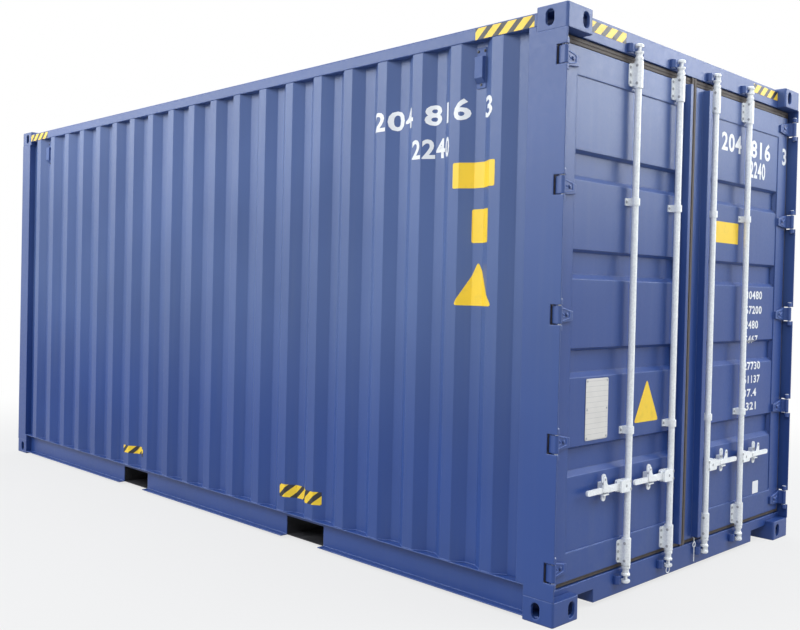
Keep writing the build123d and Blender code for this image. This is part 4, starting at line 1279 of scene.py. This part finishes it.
@dataclass
class LeafDressing:
    """Plate, marks, beads and bolts of one door leaf."""

    kit: Kit
    side: Side
    plate: Box = (-0.970, -0.776, 0.834, 1.138)
    plate_round: float = 0.012
    plate_face: float = 0.0035
    plate_thickness: float = 0.003
    plate_edge: float = 0.0008
    rivet_inset: float = 0.012
    rivet_face: float = 0.004
    triangle: Box = (-0.527, -0.286, 0.884, 1.109)
    triangle_round: float = 0.020
    patch: Box = (0.310, 0.590, 1.875, 2.000)
    sticker: Box = (0.880, 0.960, 0.318, 0.396)
    patch_round: float = 0.006
    number_lines: tuple[DigitLine, ...] = (
        DigitLine("204", 0.350, 2.420, 0.250, 0.110), DigitLine("816", 0.730, 2.420, 0.270, 0.110),
        DigitLine("3", 1.168, 2.420, 0.058, 0.110), DigitLine("2240", 0.720, 2.295, 0.215, 0.105))
    number_columns: tuple[DigitColumn, ...] = (
        DigitColumn(("30480", "67200", "2480", "5467"), 1.545, 0.092, 0.052),
        DigitColumn(("27730", "61137", "37.4", "1321"), 1.105, 0.084, 0.050))
    bead_face: float = 0.0015
    ribs: tuple[tuple[tuple[float, float], ...], ...] = (
        ((1.212, 0.031), (1.142, 0.017), (1.142, -0.017), (1.212, -0.031)),
        ((1.205, 0.012), (1.178, -0.006), (1.205, -0.012)))
    hinge_bolt: float = 1.166
    rods: tuple[float, float] = (ROD_INNER, ROD_OUTER)
    end_guides: tuple[float, float] = (0.239, 2.674)
    end_guide_ear: float = 0.0345
    end_guide_bolts: tuple[float, ...] = (-0.038, 0.0, 0.038)
    mid_guides: tuple[float, float] = (0.863, 2.028)
    mid_guide_ear: float = 0.0325
    clamp_x: float = 3.009
    clamp_flank: float = 0.0235
    clamp_bolts: tuple[float, ...] = (-0.045, 0.045)
    bracket_reach: float = 0.202
    bracket_bolts: tuple[tuple[float, float], ...] = ((-0.010, 0.030), (0.010, 0.030))

    def __post_init__(self) -> None:
        """Reads the leaf's face."""
        self.name = self.side.name.lower()
        self.body = f"door_{self.name}"
        self.skin = Skin([f"door_panel_{self.name}", f"door_frame_{self.name}"], OUT, Axis.Z)

    def _outline(self, box: Box) -> list[Vector]:
        """The corners of a mark in front of the leaf."""
        return [Vector((BEYOND, y, z)) for y, z in corners(box)]

    def build_marks(self) -> None:
        """Lays the yellow patch, and the plate or the numbers."""
        if self.side is Side.LEFT:
            outline = triangle(self._outline(self.triangle), self.triangle_round)
            films = [(outline, "door_patch_left", self.kit.finishes.yellow)]
        else:
            films = [(rounded(self._outline(box), self.patch_round), name, film)
                     for box, name, film in (
                         (self.patch, "door_patch_right", self.kit.finishes.yellow),
                         (self.sticker, "door_sticker_right", self.kit.finishes.white))]
        for outline, name, film in films:
            place_shapes(self.skin.films([outline]), name, self.body, "door_blue", film)
        if self.side is Side.LEFT:
            self._build_plate()
        else:
            self._build_numbers()

    def _build_plate(self) -> None:
        """Rivets the data plate on the leaf."""
        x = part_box("door_panel_left")[1].x
        shape = flat_outline([Vector((x + self.plate_face, point.y, point.z))
                              for point in rounded(self._outline(self.plate), self.plate_round)])
        piece = place_shapes([shape], "data_plate", self.body, "zinc", self.kit.finishes.plate)
        thicken(piece, self.plate_thickness, self.plate_edge, 1)
        y0, y1, z0, z1 = self.plate
        inset = self.rivet_inset
        seats = [Spot(Vector((x + self.rivet_face, y, z)), OUT) for y in (y0 + inset, y1 - inset)
                 for z in (z0 + inset, (z0 + z1) / 2, z1 - inset)]
        self.kit.fasteners.add(seats, self.kit.finishes.bolt, "plate_rivets", self.body, "zinc",
                               Radius=0.004, Height=0.0025)

    def _build_numbers(self) -> None:
        """Lays the groups of plain digits on the right leaf."""
        turn = Matrix(((0, 0, 1, 0), (1, 0, 0, 0), (0, 1, 0, 0), (0, 0, 0, 1)))
        shapes = []
        for line in [*self.number_lines,
                     *(line for column in self.number_columns for line in column.lines())]:
            at = Matrix.Translation((BEYOND, line.y, line.z)) @ turn
            shape = digits_shape(line.text, (line.width, line.height), at)
            self.skin.lay(shape, DIGIT_LIFT)
            shapes.append(shape)
        place_shapes(shapes, "door_numbers", self.body, "door_blue", self.kit.finishes.white)

    def build_beads(self) -> None:
        """Runs the weld bead round the panel, and the raised ribs of the hinge blades."""
        low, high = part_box(f"door_panel_{self.name}")
        seam = [Vector((high.x + self.bead_face, y, z))
                for y, z in corners((low.y, high.y, low.z, high.z))]
        self.kit.beads.add([[*seam, seam[0]]], self.kit.finishes.slots["door_blue"],
                           f"leaf_beads_{self.name}", self.body, "door_blue",
                           Radius=0.0042, Step=0.014)
        blades = Skin([f"door_hinges_{self.name}"], OUT, Axis.Z)
        ribs = [[blades.drop(Vector((BEYOND, self.side.value * y, level + rise)), 0.0)
                 for y, rise in line] for level in HINGE_LEVELS for line in self.ribs]
        # The ribs' lighter blue is a painted highlight.
        self.kit.beads.add(ribs, self.kit.finishes.rib, f"hinge_ribs_{self.name}", self.body,
                           "blue", Radius=0.0032, Step=0.008, Ripple=0.0)

    def _seats(self, node: str, places: Sequence[tuple[float, float]]) -> list[Spot]:
        """Finds the seats of bolts on a node of the leaf.

        Args:
            node: the node's name, without the side.
            places: how far from the container's middle and how high each bolt is.

        Returns:
            The seats.
        """
        skin = Skin([f"{node}_{self.name}"], OUT, Axis.Z)
        return [skin.seat(Vector((BEYOND, self.side.value * y, z))) for y, z in places]

    def build_bolts(self) -> None:
        """Sets the bolts of the blades, guides and brackets."""
        seats = self._seats("door_hinges", [(self.hinge_bolt, level) for level in HINGE_LEVELS])
        self.kit.fasteners.add(seats, self.kit.finishes.slots["blue"],
                               f"hinge_bolts_{self.name}", self.body, "blue",
                               Radius=0.008, Height=0.005)
        flanks = [(rod, way) for rod in self.rods for way in (-1, 1)]
        seats = self._seats("rod_guides", [
            *((rod + way * self.end_guide_ear, z + rise) for rod, way in flanks
              for z in self.end_guides for rise in self.end_guide_bolts),
            *((rod + way * self.mid_guide_ear, z) for rod, way in flanks
              for z in self.mid_guides)])
        sign = self.side.value
        for rod, z, rise, way in product(self.rods, self.end_guides, self.clamp_bolts, (1, -1)):
            seat = Vector((self.clamp_x, sign * (rod + way * self.clamp_flank), z + rise))
            seats.append(Spot(seat, Vector((0.0, sign * way, 0.0))))
        seats += self._seats("handle_brackets", [
            (rod + self.bracket_reach + reach, LEVER_LEVEL + rise)
            for rod in self.rods for reach, rise in self.bracket_bolts])
        self.kit.fasteners.add(seats, self.kit.finishes.bolt, f"guide_bolts_{self.name}",
                               self.body, "zinc", Radius=0.0052, Height=0.004)

    def build(self) -> None:
        """Builds everything on the leaf, in order."""
        self.build_marks()
        self.build_beads()
        self.build_bolts()


@dataclass
class LockGearDressing:
    """Collars, hub pins, lever gussets and foot rings of the four lock rods."""

    kit: Kit
    rods: tuple[float, ...] = (-ROD_OUTER, -ROD_INNER, ROD_INNER, ROD_OUTER)
    collars: tuple[float, ...] = (0.158, 2.756)
    hub_pins: tuple[tuple[float, float], ...] = ((0.042, 0.0), (0.0, 0.020), (0.0, -0.020))
    gusset_reach: float = 0.222
    gusset_thickness: float = 0.0055
    gusset_edge: float = 0.0018
    gusset_pin: float = 0.054
    gusset: tuple[tuple[float, float], ...] = (
        (-0.013, 0.050), (-0.010, 0.064), (0.0, 0.070), (0.010, 0.064), (0.014, 0.048),
        (0.017, 0.034), (0.028, 0.020), (0.052, 0.013), (0.070, 0.010), (0.070, -0.010),
        (0.020, -0.012), (-0.010, -0.012), (-0.015, -0.004))
    rod_ring: tuple[float, float] = (0.061, 0.017)
    leaf_eye: tuple[float, float] = (2.984, 0.122)
    leaf_ring: tuple[float, float] = (0.136, 0.014)
    leaf_hook: tuple[tuple[float, float], ...] = ((2.971, 0.182), (2.982, 0.176), (2.984, 0.150))
    leaf_pin: tuple[float, float] = (0.122, 0.040)

    def build_collars(self) -> None:
        """Sets a collar outside each end guide, and the pins in the hubs."""
        for i, y in enumerate(self.rods, 1):
            seats = [Spot(Vector((ROD_AXIS_X, y, z)), UP) for z in self.collars]
            self.kit.collars.add(seats, self.kit.finishes.slots["zinc"], f"rod_collars_{i}",
                                 f"rod_{i}", "zinc")
            skin = Skin([f"lock_rod_{i}"], OUT, Axis.Z)
            side = math.copysign(1.0, y)
            seats = [skin.seat(Vector((BEYOND, y + side * reach, LEVER_LEVEL + rise)), 0.0)
                     for reach, rise in self.hub_pins]
            self.kit.fasteners.add(seats, self.kit.finishes.bolt, f"hub_pins_{i}", f"rod_{i}",
                                   "zinc", Radius=0.0055, Height=0.0018)

    def build_gussets(self) -> None:
        """Adds the forged gusset that each lever carries in front of its bracket."""
        for i, y in enumerate(self.rods, 1):
            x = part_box(f"handle_{i}")[1].x + self.gusset_thickness
            side = math.copysign(1.0, y)
            shape = flat_outline([
                Vector((x, y + side * (self.gusset_reach - reach), LEVER_LEVEL + rise))
                for reach, rise in self.gusset])
            shape.normal_update()
            if shape.faces[:][0].normal.x < 0:
                bmesh.ops.reverse_faces(shape, faces=shape.faces[:])
            piece = place_shapes([shape], f"lever_gusset_{i}", f"lever_{i}", "zinc",
                                 self.kit.finishes.slots["zinc"])
            thicken(piece, self.gusset_thickness, self.gusset_edge, 2)
            seat = Vector((x, y + side * self.gusset_reach, LEVER_LEVEL + self.gusset_pin))
            self.kit.fasteners.add([Spot(seat, OUT)], self.kit.finishes.bolt, f"lever_pin_{i}",
                                   f"lever_{i}", "zinc", Radius=0.0045, Height=0.003)

    def build_rings(self) -> None:
        """Hangs a ring from rod 2's foot, and a ring with a pin from the right leaf's foot."""
        zinc = self.kit.finishes.slots["zinc"]
        level, radius = self.rod_ring
        ring = self._ring(Vector((ROD_AXIS_X, -ROD_INNER, level)), radius)
        self.kit.beads.add([ring], zinc, "rod_ring_2", "rod_2", "zinc",
                           Radius=0.0028, Step=0.004, Ripple=0.0)
        x, y = self.leaf_eye
        level, radius = self.leaf_ring
        ring = self._ring(Vector((x, y, level)), radius)
        hook = [Vector((across, y, z)) for across, z in self.leaf_hook]
        pin = [Vector((x, y, z)) for z in self.leaf_pin]
        self.kit.beads.add([ring, hook, pin], zinc, "leaf_ring_and_pin", "door_right", "zinc",
                           Radius=0.0030, Step=0.004, Ripple=0.0)

    def _ring(self, centre: Vector, radius: float, parts: int = 28) -> list[Vector]:
        """A round line facing along the container.

        Args:
            centre: its centre.
            radius: its radius.
            parts: how many straight parts it has.

        Returns:
            The points, the last on the first.
        """
        turns = [math.tau * k / parts for k in range(parts + 1)]
        return [centre + Vector((0.0, radius * math.sin(a), radius * math.cos(a))) for a in turns]

    def build(self) -> None:
        """Builds everything on the rods and levers, in order."""
        self.build_collars()
        self.build_gussets()
        self.build_rings()


@dataclass
class FloorScrews:
    """Screw heads in the plywood floor, in rows over the cross members."""

    kit: Kit
    rows: int = 19
    columns: tuple[float, ...] = (-1.12, -0.80, -0.42, -0.06, 0.06, 0.42, 0.80, 1.12)
    margin: float = 0.08

    def build(self) -> None:
        """Sets the screws."""
        low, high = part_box("floor_boards")
        step = (high.x - low.x - 2 * self.margin) / (self.rows - 1)
        seats = [Spot(Vector((low.x + self.margin + i * step, y, high.z)), UP)
                 for i in range(self.rows) for y in self.columns]
        self.kit.fasteners.add(seats, self.kit.finishes.bolt, "floor_screws", "frame", "zinc",
                               Radius=0.006, Height=0.0012)


@dataclass(frozen=True)
class Lamp:
    """A round soft lamp: where it stands, what it faces, its diameter and its power in watts."""

    name: str
    spot: Place
    aim: Place
    size: float
    power: float
    colour: Colour = (0.93, 0.97, 1.0)

    def build(self) -> None:
        """Sets the lamp in the scene."""
        lamp = bpy.data.lights.new(self.name, "AREA")
        lamp.shape, lamp.size, lamp.energy = "DISK", self.size, self.power
        lamp.color = self.colour
        holder = bpy.data.objects.new(self.name, lamp)
        bpy.context.scene.collection.objects.link(holder)
        holder.location = self.spot
        way = Vector(self.aim) - Vector(self.spot)
        holder.rotation_euler = way.to_track_quat("-Z", "Y").to_euler()


@dataclass
class Studio:
    """Floor, lamps and the camera at the photograph's angle."""

    place: Vector = Vector((5.5864, -4.7677, 1.5501))
    right: Vector = Vector((0.7137, 0.7001, 0.0233))
    up: Vector = Vector((-0.0272, -0.0055, 0.9996))
    back: Vector = Vector((0.6999, -0.7140, 0.0151))
    lens: float = 41.967
    sensor: float = 36.0
    clip_end: float = 200.0
    shift: tuple[float, float] = (-0.03248, -0.01246)
    pale_share: float = 0.74
    pale_from: float = 3.2
    pale_to: float = 7.5
    floor_reach: float = 60.0
    floor_dark: Colour = (0.40, 0.40, 0.40)
    floor_light: Colour = (0.44, 0.44, 0.44)
    sky: Colour = (0.93, 0.96, 1.0)
    sky_low: float = 0.12
    lamps: tuple[Lamp, ...] = (
        Lamp("side_sky_far", (-11.5, -7.5, 6.6), (0.4, -1.2, 2.6), 7.0, 430.0),
        Lamp("side_sky_near", (-4.0, -9.2, 6.6), (0.6, -1.2, 2.6), 6.5, 620.0),
        Lamp("door_sky", (8.2, 7.0, 6.0), (3.0, 0.2, 2.5), 5.5, 560.0),
        Lamp("corner", (7.0, -8.0, 8.0), (2.0, -0.9, 1.8), 4.0, 300.0),
        Lamp("door_top", (5.4, 0.4, 6.4), (3.0, 0.0, 1.2), 2.5, 90.0),
        Lamp("top", (0.0, 0.0, 9.0), (0.0, 0.0, 2.9), 6.0, 220.0),
        Lamp("far_side", (-5.0, 9.0, 7.0), (-0.5, 1.2, 1.8), 5.0, 420.0))

    def build_floor(self) -> None:
        """Makes the pale floor, which shows white and keeps the shadow."""
        mesh = bpy.data.meshes.new("floor")
        reach = self.floor_reach
        mesh.from_pydata([(x, y, 0) for x, y in corners((-reach, reach, -reach, reach))],
                         [], [(0, 1, 2, 3)])
        graph = Graph("pale_floor")
        tone = graph.mix(graph.noise(0.5, 2.0), self.floor_dark, self.floor_light)
        lit = graph.node("ShaderNodeBsdfDiffuse", sockets={"Color": tone})
        shown = graph.node("ShaderNodeEmission", sockets={"Color": (1.0, 1.0, 1.0)})
        away = graph.node("ShaderNodeVectorMath", {"operation": "LENGTH"}, {0: graph.here})
        far = Value(graph, away.outputs["Value"]).fade(self.pale_from, self.pale_to)
        share = graph.in_view() * (self.pale_share + far * (1.0 - self.pale_share))
        mixed = graph.node("ShaderNodeMixShader", sockets={
            0: share, 1: lit.outputs[0], 2: shown.outputs[0]})
        graph.node("ShaderNodeOutputMaterial", sockets={0: mixed.outputs[0]})
        mesh.materials.append(graph.material)
        floor = bpy.data.objects.new("floor", mesh)
        bpy.context.scene.collection.objects.link(floor)

    def build_light(self) -> None:
        """Makes a world that shows white and lights more from above, and the soft lamps."""
        world = bpy.data.worlds.new("studio")
        world.use_nodes = True
        bpy.context.scene.world = world
        graph = Nodes(world.node_tree)
        way = graph.node("ShaderNodeTexCoord").outputs["Generated"]
        height = graph.node("ShaderNodeSeparateXYZ", sockets={0: way})
        above = graph.node("ShaderNodeMapRange", sockets={
            "Value": height.outputs["Z"], "To Min": self.sky_low, "To Max": 1.0})
        lit = graph.node("ShaderNodeBackground", sockets={
            "Color": self.sky, "Strength": above.outputs["Result"]})
        shown = graph.node("ShaderNodeBackground", sockets={"Color": (1.0, 1.0, 1.0)})
        mixed = graph.node("ShaderNodeMixShader", sockets={
            0: graph.in_view(), 1: lit.outputs[0], 2: shown.outputs[0]})
        graph.node("ShaderNodeOutputWorld", sockets={0: mixed.outputs[0]})
        for lamp in self.lamps:
            lamp.build()

    def build_camera(self) -> None:
        """Sets the camera where the photograph was taken."""
        camera = bpy.data.cameras.new("photo_camera")
        camera.lens, camera.sensor_width = self.lens, self.sensor
        camera.sensor_fit = "HORIZONTAL"
        camera.shift_x, camera.shift_y = self.shift
        camera.clip_end = self.clip_end
        holder = bpy.data.objects.new("photo_camera", camera)
        bpy.context.scene.collection.objects.link(holder)
        turned = Matrix((self.right, self.up, self.back)).transposed().to_4x4()
        holder.matrix_world = Matrix.Translation(self.place) @ turned
        bpy.context.scene.camera = holder

    def build(self) -> None:
        """Builds the whole studio."""
        self.build_floor()
        self.build_light()
        self.build_camera()
        bpy.context.scene.view_settings.view_transform = "Standard"
        LOG.info("studio is set")


def main() -> None:
    """Dresses the container and sets the studio."""
    finishes = Finishes()
    finishes.dress_nodes()
    kit = Kit(finishes, FastenerTree(), BeadTree(), CollarTree())
    for side in Side:
        SideWallMarks(kit, side).build()
        LeafDressing(kit, side).build()
    EndMarks(kit).build()
    LockGearDressing(kit).build()
    FloorScrews(kit).build()
    Studio().build()


if __name__ == "__main__":
    main()
